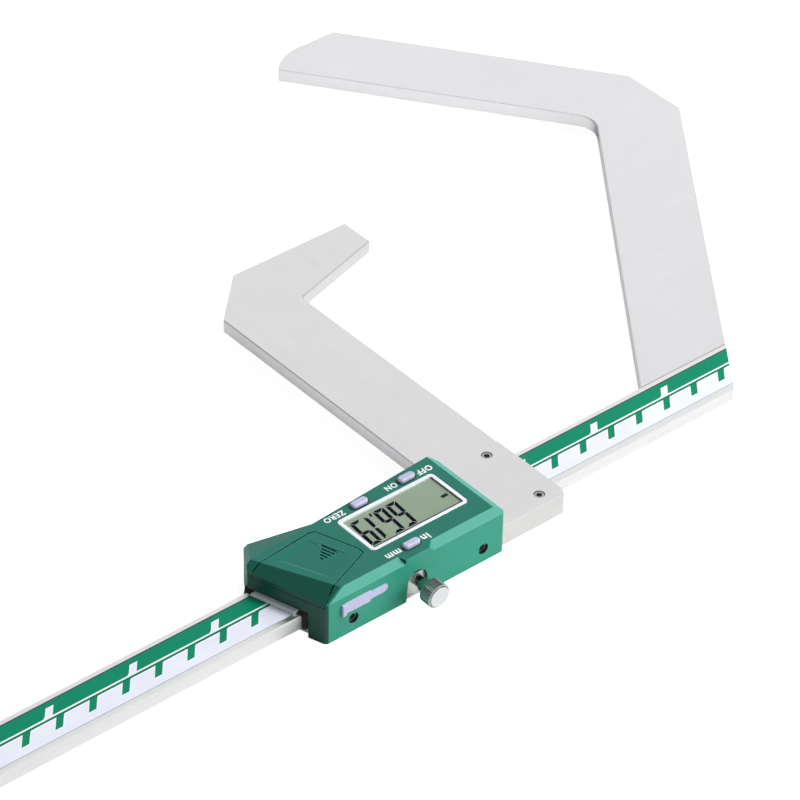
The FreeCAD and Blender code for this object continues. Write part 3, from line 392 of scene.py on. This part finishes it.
MATERIALS = {
    "beam": ground_steel("beam_ground_steel", (0.96, 0.95, 0.96), 0.34, edge=0.00006),
    "scale_grid": printed("grid_board", (0.03, 0.16, 0.07)),
    "scale_label": printed("label_field", LABEL_WHITE, 0.3),
    "fixed_jaw": ground_steel("fixed_jaw_ground_steel", (0.93, 0.92, 0.94), 0.36, radians(-8), edge=0.00006),
    "jaw_rivets": ground_steel("rivet_steel", PLAIN_STEEL, 0.35),
    "end_stop": ground_steel("stop_steel", PLAIN_STEEL, 0.35),
    "end_stop_screws": ground_steel("stop_screw_steel", (0.45, 0.45, 0.47), 0.3),
    "slider_base": ground_steel("base_milled_steel", (0.80, 0.79, 0.78), 0.36,
                                stretch=(300.0, 1500.0, 1500.0)),
    "sliding_jaw": ground_steel("sliding_jaw_ground_steel", (0.855, 0.85, 0.865), 0.34, radians(90),
                                edge=0.00008),
    "jaw_screws": ground_steel("set_screw_steel", (0.45, 0.44, 0.43), 0.25),
    "gib_strip": ground_steel("gib_brass", BRASS, 0.3),
    # Painted shade: the gib screws, deep in their access holes, are coloured near black.
    "gib_screws": ground_steel("gib_screw_painted_shade", (0.012, 0.035, 0.028), 0.4),
    "lock_pad": ground_steel("pad_brass", BRASS, 0.3),
    # The knob's turned, knurled sides carry painted shade.
    "lock_screw": ground_steel("turned_knob", BRIGHT_STEEL, 0.24, radians(90), (900.0, 900.0, 5000.0),
                               edge=0.00012, turned_side_shade=(0.34, 0.37, 0.36)),
    "bottom_plate": ground_steel("bright_sheet", BRIGHT_STEEL, 0.28),
    "plate_screws": ground_steel("plate_screw_steel", (0.35, 0.35, 0.36), 0.3),
    "wiper_strip": moulded("wiper_plastic", (0.88, 0.90, 0.97), 0.3, WORN_AND_HIGHLIGHT_WHITE),
    "felt_seal": moulded("black_felt", (0.008, 0.008, 0.008), 0.9, (0.02, 0.02, 0.02), grain=3000.0,
                         depth=0.00003),
    # Painted light and shade on the housing: darker ends and top, a paler bevel, near-black recess walls and
    # lighter edges.
    "housing": moulded("green_cover", COVER_GREEN, 0.42, (0.11, 0.50, 0.38),
                       painted_end_shades=((0.0, 0.082, 0.052), (0.0, 0.080, 0.055)),
                       painted_top_shade=(0.008, 0.160, 0.115), painted_bevel_sheen=(0.085, 0.37, 0.285),
                       recess_shade=RECESS_SHADE_DARK, gloss=0.4),
    # Painted light and shade on the battery cover: darker ends and top, near-black recess walls and lighter
    # edges.
    "battery_cover": moulded("green_battery_cover", COVER_GREEN, 0.42, (0.10, 0.46, 0.35),
                             painted_end_shades=((0.0, 0.064, 0.042), (0.0, 0.074, 0.050)),
                             painted_top_shade=(0.007, 0.155, 0.111), recess_shade=RECESS_SHADE_DARK, gloss=0.4),
    "port_cover": moulded("port_plug", (0.53, 0.545, 0.745), 0.35, (0.66, 0.66, 0.80)),
    "port_contacts": moulded("contact_carrier", (0.02, 0.02, 0.02), 0.4, (0.05, 0.05, 0.05)),
    "display_frame": moulded("white_frame", (0.86, 0.88, 0.93), 0.28, WORN_AND_HIGHLIGHT_WHITE),
    "display_window": clear_window(),
    "lcd_panel": printed("display_glass", (0.30, 0.385, 0.285), 0.4, gloss=0.15),
    "zebra_strips": moulded("zebra_rubber", (0.06, 0.06, 0.07), 0.6, (0.1, 0.1, 0.1)),
    "circuit_board": printed("circuit_board_green", (0.02, 0.14, 0.05)),
    "board_parts": moulded("black_resin", (0.012, 0.012, 0.012), 0.4, (0.05, 0.05, 0.05)),
    "button_domes": moulded("dome_rubber", (0.05, 0.05, 0.05), 0.6, (0.1, 0.1, 0.1)),
    "on_off_button": moulded("button_plastic", (0.52, 0.53, 0.71), 0.32, (0.74, 0.74, 0.90)),
    "battery": ground_steel("cell_nickel", (0.8, 0.8, 0.8), 0.2),
    "battery_contacts": ground_steel("contact_brass", (0.8, 0.65, 0.35), 0.3),
}
MATERIALS["zero_button"] = MATERIALS["on_off_button"]
MATERIALS["unit_button"] = MATERIALS["on_off_button"]

for node, material in MATERIALS.items():
    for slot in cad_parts[node].material_slots:
        slot.material = material

PRINT_GREEN = printed("print_green", (0.004, 0.25, 0.135), 0.45, gloss=0.15)
PRINT_DARK_GREEN = printed("print_dark_green", (0.003, 0.17, 0.095), 0.45, gloss=0.15)
PRINT_WHITE = printed("print_white", (0.95, 0.96, 0.99), 0.3)
PRINT_FIELD = printed("print_field", LABEL_WHITE, 0.3)
PRINT_GREY = printed("print_grey", (0.40, 0.43, 0.55), 0.4)
# Black for painted shadow along the label's far edge, the display glass's near and right edges and the
# button joints.
SHADOW_BLACK = printed("painted_shadow_black", (0.01, 0.01, 0.012), 0.35)
PAINT_WHITE = printed("lettering_white", (0.93, 0.94, 0.95), 0.35)
SEGMENT_INK = printed("segment_ink", (0.002, 0.003, 0.014), 0.5, gloss=0.02)
MARK_INK = printed("unit_mark_ink", (0.01, 0.02, 0.035), 0.5, gloss=0.05)


# Pieces

PRINT_SUNK = 0.005                  # the foot of a layer of print lies this deep in the face under it
PRINT_THICK = 0.02                  # words, figures and painted shadow line
STRIP_THICK, LINE_THICK = 0.010, 0.014


def settle(name, mesh, body):
    """Put a finished mesh into the scene, as a piece that rides on a body."""
    piece = bpy.data.objects.new(name, mesh)
    bpy.context.scene.collection.objects.link(piece)
    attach(piece, body)
    return piece


def mesh_of(name, build, material):
    """Mesh in metres from a bmesh in millimetres, with its faces outwards."""
    bmesh.ops.recalc_face_normals(build, faces=build.faces)
    bmesh.ops.transform(build, matrix=Matrix.Scale(MM, 4), verts=build.verts)
    mesh = bpy.data.meshes.new(name)
    build.to_mesh(mesh)
    build.free()
    mesh.materials.append(material)
    return mesh


def plate_mesh(name, outlines, z0, z1, material):
    """Mesh of closed thin plates with given plan outlines."""
    build = bmesh.new()
    for points in outlines:
        low = [build.verts.new((x, y, z0)) for x, y in points]
        high = [build.verts.new((x, y, z1)) for x, y in points]
        build.faces.new(list(reversed(low)))
        build.faces.new(high)
        count = len(points)
        for k in range(count):
            build.faces.new((low[k], low[(k + 1) % count], high[(k + 1) % count], high[k]))
    return mesh_of(name, build, material)


def box_of(node):
    """Low and high corner of a CAD node, in millimetres."""
    return tuple(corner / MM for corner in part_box(node))


# Label print, in millimetres: green band with white notches every inch, and a mark every centimetre

INCH, CENTIMETRE = 25.4, 10.0
SLANT = 0.82                        # lean of the marks, along X for each millimetre along Y
BAND_LOW, BAND_HIGH = 1.34, 5.92
LINE_LOW, LINE_HIGH = 0.10, 0.80
WHITE_EDGE, NEAR_LINE = 0.38, 0.20
END_PLAY = 0.03                     # the print stops this much short of the beam's oblique end
MARK_X, MARK_W, MARK_LOW, MARK_TUCK = -102.1, 2.27, -3.48, 0.05
FILLET, FILLET_IN, FILLET_DOWN = 0.35, 0.06, 0.1
HALO, HALO_FOOT = 0.42, 0.315       # white border beside a mark and below it
NOTCH_X, NOTCH_W, NOTCH_HIGH = -99.45, 2.4, 4.28
FLARE = ((-0.8, 0.0), (SLANT * 0.64, 0.64), (0.05, 0.3), (-0.3, 0.09))      # rounded left foot of a notch
FIELD_FOOT, FIELD_HEAD, FIELD_DOWN = (0.25, 0.35), (0.35, 0.62), 0.45       # margins of its pale field


def build_row_tree():
    """Geometry tree: copies of one mark at an even pitch along X, realised as one mesh."""
    tree, start, end = new_group(
        "mark_row",
        [("Geometry", "Geometry", None), ("Count", "Int", None), ("Pitch", "Float", None),
         ("Finish", "Material", None)],
        [("Geometry", "Geometry")], "GeometryNodeTree")
    pitch = add(tree, "ShaderNodeCombineXYZ", i_X=start.outputs["Pitch"])
    line = add(tree, "GeometryNodeMeshLine", i_Count=start.outputs["Count"], i_Offset=pitch.outputs[0])
    place = add(tree, "GeometryNodeInstanceOnPoints", i_Points=line.outputs[0],
                i_Instance=start.outputs["Geometry"])
    real = add(tree, "GeometryNodeRealizeInstances", i_0=place.outputs[0])
    finish = add(tree, "GeometryNodeSetMaterial", i_Geometry=real.outputs[0],
                 i_Material=start.outputs["Finish"])
    feed(tree, finish.outputs[0], end.inputs[0])
    return tree


ROW = build_row_tree()


def mark_row(name, outline, low, high, row, material):
    """Piece with evenly spaced copies of a mark that lies from low to high over the label's face."""
    shift, count, pitch = row
    outline = [(x + shift, y) for x, y in outline]
    mark = bpy.data.objects.new(
        "mark", plate_mesh("mark", [outline], LABEL_TOP + low, LABEL_TOP + high, material))
    bpy.context.scene.collection.objects.link(mark)
    modifier = mark.modifiers.new("row", "NODES")
    modifier.node_group = ROW
    values = {"Count": count, "Pitch": pitch * MM, "Finish": material}
    for item in ROW.interface.items_tree:
        if item.in_out == "INPUT" and item.name in values:
            modifier[item.identifier] = values[item.name]
    evaluated = mark.evaluated_get(bpy.context.evaluated_depsgraph_get())
    mesh = bpy.data.meshes.new_from_object(evaluated)
    mesh.name = name
    bpy.data.objects.remove(mark)
    settle(name, mesh, "beam")


def row_from(start, first, pitch, clear):
    """Shift of a row's first mark, its number of marks up to the beam's right end, and its pitch."""
    return first * pitch, int((END_X - clear - start) // pitch) + 1 - first, pitch


def strip_outline(low, high):
    """Plan of a strip that runs the whole length of the label."""
    def end_at(y):
        return END_X + END_LEAN * y - END_PLAY

    return [(LABEL_LEFT, low), (end_at(low), low), (end_at(high), high), (LABEL_LEFT, high)]


def make_label_print():
    for name, low, high, thick, material in (
            ("label_band", BAND_LOW, BAND_HIGH, STRIP_THICK, PRINT_GREEN),
            # Painted shadow: a black line along the label's far edge.
            ("label_far_edge_shadow", BAND_HIGH, LABEL_HALF, STRIP_THICK, SHADOW_BLACK),
            ("label_white_line", LINE_HIGH, BAND_LOW, STRIP_THICK, PRINT_WHITE),
            ("label_thin_line", LINE_LOW, LINE_HIGH, LINE_THICK, PRINT_DARK_GREEN),
            ("label_white_edge", LINE_LOW - WHITE_EDGE, LINE_LOW, STRIP_THICK, PRINT_WHITE),
            ("label_near_line", -LABEL_HALF, -LABEL_HALF + NEAR_LINE, STRIP_THICK, PRINT_GREY)):
        strip = plate_mesh(name, [strip_outline(low, high)], LABEL_TOP - PRINT_SUNK, LABEL_TOP + thick,
                           material)
        settle(name, strip, "beam")

    lean = SLANT * (LINE_LOW - MARK_LOW)
    right = MARK_X + MARK_W
    mark = [(MARK_X, MARK_LOW), (right, MARK_LOW), (right + lean - SLANT * FILLET, LINE_LOW - FILLET),
            (right + lean + FILLET_IN, LINE_LOW - FILLET_DOWN),
            (right + lean + FILLET, LINE_LOW + MARK_TUCK), (MARK_X + lean, LINE_LOW + MARK_TUCK)]
    halo_low = MARK_LOW - HALO_FOOT
    halo_lean = SLANT * (LINE_LOW - halo_low)
    halo_left = MARK_X - HALO - SLANT * HALO_FOOT
    halo_right = halo_left + MARK_W + HALO * 2
    halo = [(halo_left, halo_low), (halo_right, halo_low), (halo_right + halo_lean, LINE_LOW),
            (halo_left + halo_lean, LINE_LOW)]
    foot = NOTCH_X - SLANT * (NOTCH_HIGH - BAND_LOW)
    left_foot, *rounding = [(foot + x, BAND_LOW + y) for x, y in FLARE]
    notch = [left_foot, (foot + NOTCH_W, BAND_LOW), (NOTCH_X + NOTCH_W, NOTCH_HIGH), (NOTCH_X, NOTCH_HIGH),
             *rounding]
    head = NOTCH_HIGH - FIELD_DOWN
    field = [(foot + FIELD_FOOT[0], BAND_LOW), (foot + NOTCH_W - FIELD_FOOT[1], BAND_LOW),
             (NOTCH_X + NOTCH_W - FIELD_HEAD[1], head), (NOTCH_X + FIELD_HEAD[0], head)]

    centimetres = row_from(MARK_X, -7, CENTIMETRE, 4.0)
    inches = row_from(NOTCH_X, -2, INCH, 3.0)
    mark_row("label_centimetre_marks", mark, 0.004, 0.018, centimetres, PRINT_GREEN)
    mark_row("label_mark_edges", halo, -0.002, 0.007, centimetres, PRINT_WHITE)
    mark_row("label_inch_edges", notch, 0.004, 0.014, inches, PRINT_WHITE)
    mark_row("label_inch_notches", field, 0.006, 0.018, inches, PRINT_FIELD)


# Words, which are read from the far side

def word(name, text, centre, height, top, material, bold=0.03, widen=1.0):
    """Lettering in the face at top, turned half round and brought to its height in millimetres."""
    curve = bpy.data.curves.new(name, "FONT")
    curve.body = text
    curve.align_x = "CENTER"
    curve.align_y = "CENTER"
    curve.size = 1.0
    curve.offset = bold
    curve.space_character = 1.12
    curve.resolution_u = 4
    curve.extrude = 0.5
    lettering = bpy.data.objects.new(name + "_curve", curve)
    bpy.context.scene.collection.objects.link(lettering)
    mesh = bpy.data.meshes.new_from_object(lettering.evaluated_get(bpy.context.evaluated_depsgraph_get()))
    mesh.name = name
    bpy.data.objects.remove(lettering)
    xs = [v.co.x for v in mesh.vertices]
    ys = [v.co.y for v in mesh.vertices]
    middle_x, middle_y = (max(xs) + min(xs)) / 2, (max(ys) + min(ys)) / 2
    scale = height / (max(ys) - min(ys))
    for v in mesh.vertices:
        x = -(v.co.x - middle_x) * scale * widen + centre[0]
        y = -(v.co.y - middle_y) * scale + centre[1]
        v.co = Vector((x, y, top + v.co.z * PRINT_THICK)) * MM
    mesh.materials.clear()
    mesh.materials.append(material)
    settle(name, mesh, "slider")


def make_words():
    for name, text, centre, height, widen in (
            ("word_off", "OFF", (26.0, 10.65), 2.05, 0.94), ("word_on", "ON", (14.85, 10.75), 1.95, 0.88),
            ("word_zero", "ZERO", (-4.1, 10.45), 2.0, 0.9), ("word_in", "in", (8.9, -10.2), 2.3, 1.0),
            ("word_mm", "mm", (-1.75, -10.15), 1.6, 0.98)):
        word(name, text, centre, height, HOUSING_TOP, PAINT_WHITE, widen=widen)
    word("display_unit", "mm", (23.5, -0.35), 1.15, GLASS_TOP + 0.01, MARK_INK, bold=0.09,
         widen=0.72)


# Pieces whose shape the scene refines; each stands for its CAD node and rides on the same body

def reshaped(node, change, body):
    """Copy of a CAD node's mesh with its points, in millimetres, moved by change(build)."""
    build = bmesh.new()
    build.from_mesh(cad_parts[node].data)
    bmesh.ops.remove_doubles(build, verts=build.verts, dist=0.000001)
    bmesh.ops.transform(build, matrix=Matrix.Scale(1 / MM, 4), verts=build.verts)
    build.normal_update()
    change(build)
    name = node + "_finished"
    piece = settle(name, mesh_of(name, build, MATERIALS[node]), body)
    for polygon in piece.data.polygons:
        polygon.use_smooth = False
    if "custom_normal" in piece.data.attributes:
        piece.data.attributes.remove(piece.data.attributes["custom_normal"])
    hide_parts(node)


FRAME_LIP, FRAME_RIM = 0.3, 0.5     # the lip reaches this much further in; this much of the frame stays
WINDOW_LOW, WINDOW_HIGH = 14.0, 14.3
GLASS_TOP, GLASS_PLAY, GLASS_CORNER = 13.95, 0.05, 0.15
# Widths of the black painted shadow line along the glass's near and right edges
SHADOW_LINE_NEAR, SHADOW_LINE_RIGHT = 0.74, 0.2


def make_display():
    """Wider frame lip, with the glass and its clear window close under it and a black painted shadow line
    along its near and right edges.
    """
    low, high = box_of("display_frame")
    middle = (low + high) / 2

    def draw_in(vert):
        """Move a point inwards, except on the near side."""
        vert.co.x -= FRAME_LIP if vert.co.x > middle.x else -FRAME_LIP
        if vert.co.y > middle.y:
            vert.co.y -= FRAME_LIP

    def widen_lip(build):
        for vert in build.verts:
            inside_x = low.x + FRAME_RIM < vert.co.x < high.x - FRAME_RIM
            inside_y = low.y + FRAME_RIM < vert.co.y < high.y - FRAME_RIM
            if inside_x and inside_y:
                draw_in(vert)

    def raise_window(build):
        half = sum(v.co.z for v in build.verts) / len(build.verts)
        for vert in build.verts:
            draw_in(vert)
            vert.co.z = WINDOW_HIGH if vert.co.z > half else WINDOW_LOW

    reshaped("display_frame", widen_lip, "slider")
    reshaped("display_window", raise_window, "slider")
    low, high = box_of("display_window")
    x0, x1 = low.x + FRAME_LIP + GLASS_PLAY, high.x - FRAME_LIP - GLASS_PLAY
    y0, y1 = low.y + GLASS_PLAY, high.y - FRAME_LIP - GLASS_PLAY
    cut = GLASS_CORNER
    near_and_right = [(x0 + cut, y0), (x1 - cut, y0), (x1, y0 + cut), (x1, y1 - cut)]
    glass = near_and_right + [(x1 - cut, y1), (x0 + cut, y1), (x0, y1 - cut), (x0, y0 + cut)]
    # Painted shadow: a black L along the glass's near and right edges.
    line = near_and_right + [(x1 - SHADOW_LINE_RIGHT, y1 - cut), (x1 - SHADOW_LINE_RIGHT, y0 + SHADOW_LINE_NEAR),
                             (x0 + cut, y0 + SHADOW_LINE_NEAR)]
    for name, outline, z0, z1, material in (
            ("display_glass", glass, PANEL_TOP, GLASS_TOP, MATERIALS["lcd_panel"]),
            ("display_painted_shadow_line", line, GLASS_TOP - PRINT_SUNK, GLASS_TOP + PRINT_THICK, SHADOW_BLACK)):
        settle(name, plate_mesh(name, [outline], z0, z1, material), "slider")


JOINT_WIDER = 0.12
WALL_TILT, END_WALL, ARROW_DEEP = 0.1, -0.9, 0.8        # which faces count as the joint's walls
DISH_LEFT, DISH_RIGHT = (-24.0, 0.34), (-11.5, 0.02)    # places along X and the depth of the dish there
DISH_LEAST = 0.01
ARROW_X, ARROW_Y = (-18.5, -12.2), (-3.0, 3.7)          # room of the arrow of grooves
ARROW_SHIFT = Vector((0.42, 0.49, 0.0))


def make_cover():
    """Battery cover with the pad turned into a shallow thumb dish and a joint line that shows."""
    slope = (DISH_RIGHT[1] - DISH_LEFT[1]) / (DISH_RIGHT[0] - DISH_LEFT[0])

    def widen_joint(build):
        """Draw the upright walls in along their normals, without the end wall and the arrow's."""
        walls = {}
        for face in build.faces:
            upright = abs(face.normal.z) < WALL_TILT and face.normal.x > END_WALL
            if upright and min(v.co.z for v in face.verts) < HOUSING_TOP - ARROW_DEEP:
                key = (round(face.normal.x, 1), round(face.normal.y, 1))
                for vert in face.verts:
                    walls.setdefault(vert, {})[key] = face.normal.copy()
        for vert, normals in walls.items():
            for normal in normals.values():
                vert.co -= normal * JOINT_WIDER

    def sink_pad(build, pad_top):
        """Lower the pad into a dish, with the arrow moved to its place on the dish's floor."""
        for vert in build.verts:
            x, y, z = vert.co
            deep = max(DISH_LEAST, DISH_LEFT[1] + slope * (x - DISH_LEFT[0]))
            if ARROW_X[0] < x < ARROW_X[1] and ARROW_Y[0] < y < ARROW_Y[1]:
                if z > HOUSING_TOP - 0.1:
                    vert.co += ARROW_SHIFT
                    vert.co.z = HOUSING_TOP - deep + (z - pad_top)
            elif z > HOUSING_TOP + 0.01:
                vert.co.z = HOUSING_TOP - deep * (z - HOUSING_TOP) / (pad_top - HOUSING_TOP)

    def finish_cover(build):
        pad_top = max(v.co.z for v in build.verts)
        widen_joint(build)
        sink_pad(build, pad_top)

    reshaped("battery_cover", finish_cover, "battery_cover")


SEAL_FRONT, SEAL_EDGE, SEAL_BACK = -31.9, 0.8, 0.92     # its proud front, upper edge and lean


def make_seal():
    """Felt seal whose upper edge leans back to the housing, so that the wiper strip hides it."""
    def lean_back(build):
        for vert in build.verts:
            if vert.co.z > LABEL_TOP + SEAL_EDGE and vert.co.x + COVER_LEAN * vert.co.y < SEAL_FRONT:
                vert.co.x += SEAL_BACK

    reshaped("felt_seal", lean_back, "slider")


def stadium(centre, length, width, steps=8):
    """Outline with two round ends, anticlockwise."""
    x, y = centre
    r = width / 2
    reach = length / 2 - r
    points = []
    for side, start in ((1, -90), (-1, 90)):
        for k in range(steps + 1):
            angle = radians(start + 180 * k / steps)
            points.append((x + side * reach + r * cos(angle), y + r * sin(angle)))
    return points


RING_WIDTH, RING_PLAY = 0.46, 0.02
RING_SUNK, RING_PROUD = 0.01, 0.015


def make_button_rings():
    """Thin black ring in the joint round each button, painted shade of the gap."""
    build = bmesh.new()
    for node in ("on_off_button", "zero_button", "unit_button"):
        low, high = box_of(node)
        centre = ((low.x + high.x) / 2, (low.y + high.y) / 2)
        inner, outer = (stadium(centre, BUTTON_CAP[0] + 2 * wide, BUTTON_CAP[1] + 2 * wide)
                        for wide in (RING_PLAY, RING_WIDTH))
        foot, top = HOUSING_TOP - RING_SUNK, HOUSING_TOP + RING_PROUD
        loops = [[build.verts.new((x, y, z)) for x, y in line]
                 for line, z in ((inner, foot), (outer, foot), (outer, top), (inner, top))]
        count = len(inner)
        for first, second in ((0, 1), (1, 2), (2, 3), (3, 0)):
            for k in range(count):
                j = (k + 1) % count
                build.faces.new((loops[first][k], loops[first][j], loops[second][j], loops[second][k]))
    settle("button_painted_gap_shade", mesh_of("button_painted_gap_shade", build, SHADOW_BLACK), "slider")


# Figures of the display, in millimetres. Seen from the near side they stand on their heads.

FIGURE_W, FIGURE_H, FIGURE_LOW, FIGURE_LEAN = 3.45, 10.4, -4.28, 0.085
STROKE, GAP = 1.04, 0.11
CORNER_CUT, TIP, TIP_CUT, SHOULDER = 0.1, 0.4, 0.05, 0.35       # cuts at the segments' ends
SIX_TURNED = ("top", "middle", "bottom", "left_high", "left_low", "right_low")
NINE_TURNED = ("top", "middle", "bottom", "left_high", "right_high", "right_low")
ONE_TURNED = ("left_high", "left_low")
FIGURES = ((-3.77, SIX_TURNED), (0.63, ONE_TURNED), (3.76, NINE_TURNED), (7.96, NINE_TURNED))
DECIMAL_POINT = [(3.36, 4.87), (3.96, 4.87), (4.06, 6.22), (3.66, 6.22), (3.41, 5.62)]


def segment(part):
    """Outline of one segment, before it leans; the lower and right ones are mirrored."""
    w, h, t, half = FIGURE_W, FIGURE_H, STROKE, FIGURE_H / 2
    if part == "middle":
        return [(TIP, half), (t + TIP_CUT, half + t / 2), (w - t - TIP_CUT, half + t / 2), (w - TIP, half),
                (w - t - TIP_CUT, half - t / 2), (t + TIP_CUT, half - t / 2)]
    if part in ("top", "bottom"):
        outline = [(GAP + CORNER_CUT, h), (w - GAP - CORNER_CUT, h), (w - t - GAP, h - t), (t + GAP, h - t)]
    else:
        outline = [(0, h - GAP - CORNER_CUT), (t, h - t - GAP), (t, half + t / 2 + GAP),
                   (SHOULDER, half + GAP), (0, half + TIP)]
    if part in ("bottom", "left_low", "right_low"):
        outline = [(x, h - y) for x, y in outline]
    if part in ("right_high", "right_low"):
        outline = [(w - x, y) for x, y in outline]
    return outline


def make_digits():
    outlines = [[(left + x + FIGURE_LEAN * y, FIGURE_LOW + y) for x, y in segment(part)]
                for left, lit in FIGURES for part in lit]
    mesh = plate_mesh("display_digits", outlines + [DECIMAL_POINT], GLASS_TOP - PRINT_SUNK,
                      GLASS_TOP + PRINT_THICK, SEGMENT_INK)
    settle("display_digits", mesh, "slider")


make_label_print()
make_words()
make_display()
make_cover()
make_seal()
make_button_rings()
make_digits()


# Studio

WHITE = (1.0, 1.0, 1.0)
FLOOR_HALF, FLOOR_Z = 6.0, -0.0001
FLOOR_TONE, FLOOR_LIFT = (0.66, 0.66, 0.67), 0.88
MIRRORED_TONE = (0.83, 0.83, 0.83)
FILL_SIDE, FILL_TONE, FILL_STRENGTH = (0.83, -0.5, 0.24), (0.25, 0.28, 0.28), 0.345
DARK_SKY = (0.13, 0.15, 0.15)

# Bright panels that only gloss and glass see: direction, outer and inner cosine, brightness
PANELS = (
    ((0.57, 0.62, 0.54), 0.89, 0.965, 1.0),
    ((0.53, -0.50, 0.68), 0.87, 0.965, 1.0),
    ((-0.62, -0.55, 0.56), 0.1, 0.8, 0.65),
    ((0.0, 0.0, -1.0), -0.35, -0.05, 0.9),
)

# Lamps: name, place, point they aim at, size in metres, power in watts
LAMPS = (
    ("right_softbox", (1.55, -1.53, 0.70), (0.05, 0.0, 0.0), (2.4, 1.3), 44.5),
    ("top_softbox", (0.42, 0.05, 1.05), (0.05, 0.02, 0.0), (0.34, 0.34), 4.9),
    ("front_softbox", (0.565, -0.34, 0.89), (0.0, 0.0, 0.0), (0.36, 0.36), 4.0),
)

CAMERA_PLACE = (-0.50322, -0.60051, 0.66277)
CAMERA_RIGHT = (0.76780, -0.64055, 0.01318)
CAMERA_UP = (0.38413, 0.47672, 0.79068)
CAMERA_BACK = (-0.51276, -0.60202, 0.61209)
CAMERA_LENS, CAMERA_SENSOR = 180.34, 36.0


def mix_shader(tree, factor, first, second):
    return add(tree, "ShaderNodeMixShader", i_0=factor, i_1=first, i_2=second).outputs[0]


def make_floor():
    """Pale floor: lifted to white for the camera, and with a matte of its own for what metal mirrors."""
    s = FLOOR_HALF
    mesh = bpy.data.meshes.new("studio_floor")
    mesh.from_pydata([(-s, -s, 0), (s, -s, 0), (s, s, 0), (-s, s, 0)], [], [(0, 1, 2, 3)])
    floor = bpy.data.objects.new("studio_floor", mesh)
    floor.location.z = FLOOR_Z
    bpy.context.scene.collection.objects.link(floor)
    material = bpy.data.materials.new("pale_floor")
    material.use_nodes = True
    tree = material.node_tree
    tree.nodes.clear()
    path = add(tree, "ShaderNodeLightPath").outputs
    matte = add(tree, "ShaderNodeBsdfDiffuse", i_Color=(*FLOOR_TONE, 1)).outputs[0]
    mirrored = add(tree, "ShaderNodeBsdfDiffuse", i_Color=(*MIRRORED_TONE, 1)).outputs[0]
    lift = add(tree, "ShaderNodeEmission", i_Color=(*WHITE, 1), i_Strength=FLOOR_LIFT).outputs[0]
    lifted = add(tree, "ShaderNodeAddShader", i_0=matte, i_1=lift).outputs[0]
    unseen = mix_shader(tree, path["Is Glossy Ray"], matte, mirrored)
    add(tree, "ShaderNodeOutputMaterial", i_0=mix_shader(tree, path["Is Camera Ray"], unseen, lifted))
    mesh.materials.append(material)


def make_world():
    """White backdrop for the camera, a soft fill, and panels that gloss and glass see."""
    world = bpy.data.worlds.new("studio")
    bpy.context.scene.world = world
    world.use_nodes = True
    tree = world.node_tree
    tree.nodes.clear()
    path = add(tree, "ShaderNodeLightPath").outputs
    coords = add(tree, "ShaderNodeTexCoord")

    def towards(direction, low, high):
        """Soft patch of sky round a direction: 0 past the low cosine and 1 inside the high one."""
        dot = add(tree, "ShaderNodeVectorMath", operation="DOT_PRODUCT", i_0=coords.outputs["Generated"],
                  i_1=direction)
        return smooth_step(tree, dot.outputs["Value"], low, high)

    def background(colour, strength):
        return add(tree, "ShaderNodeBackground", i_Color=colour, i_Strength=strength).outputs[0]

    side = towards(FILL_SIDE, -0.6, 0.9)
    fill = background(ramp(tree, side, FILL_TONE, WHITE, (0.0, 1.0)), FILL_STRENGTH)
    glow = 0.0
    for direction, low, high, bright in PANELS:
        panel = math_node(tree, "MULTIPLY", towards(direction, low, high), bright)
        glow = math_node(tree, "MAXIMUM", glow, panel)
    shiny = background(ramp(tree, glow, DARK_SKY, WHITE, (0.0, 1.0)), 1.0)
    glossy = math_node(tree, "MAXIMUM", path["Is Glossy Ray"], path["Is Transmission Ray"])
    unseen = mix_shader(tree, glossy, fill, shiny)
    seen = background((*WHITE, 1), 1.0)
    add(tree, "ShaderNodeOutputWorld", i_0=mix_shader(tree, path["Is Camera Ray"], unseen, seen))


def make_lamps():
    for name, place, aim, size, power in LAMPS:
        light = bpy.data.lights.new(name, "AREA")
        light.shape = "RECTANGLE"
        light.size, light.size_y = size
        light.energy = power
        holder = bpy.data.objects.new(name, light)
        holder.location = place
        holder.rotation_euler = (Vector(aim) - Vector(place)).to_track_quat("-Z", "Y").to_euler()
        holder.visible_glossy = False
        bpy.context.scene.collection.objects.link(holder)


def make_camera():
    view = bpy.data.cameras.new("photo_camera")
    view.sensor_width = CAMERA_SENSOR
    view.lens = CAMERA_LENS
    view.clip_start = 0.05
    view.clip_end = 50.0
    camera = bpy.data.objects.new("photo_camera", view)
    turn = Matrix((CAMERA_RIGHT, CAMERA_UP, CAMERA_BACK)).transposed()
    camera.matrix_world = Matrix.Translation(CAMERA_PLACE) @ turn.to_4x4()
    bpy.context.scene.collection.objects.link(camera)
    bpy.context.scene.camera = camera


make_floor()
make_world()
make_lamps()
make_camera()
bpy.context.scene.view_settings.view_transform = "Standard"
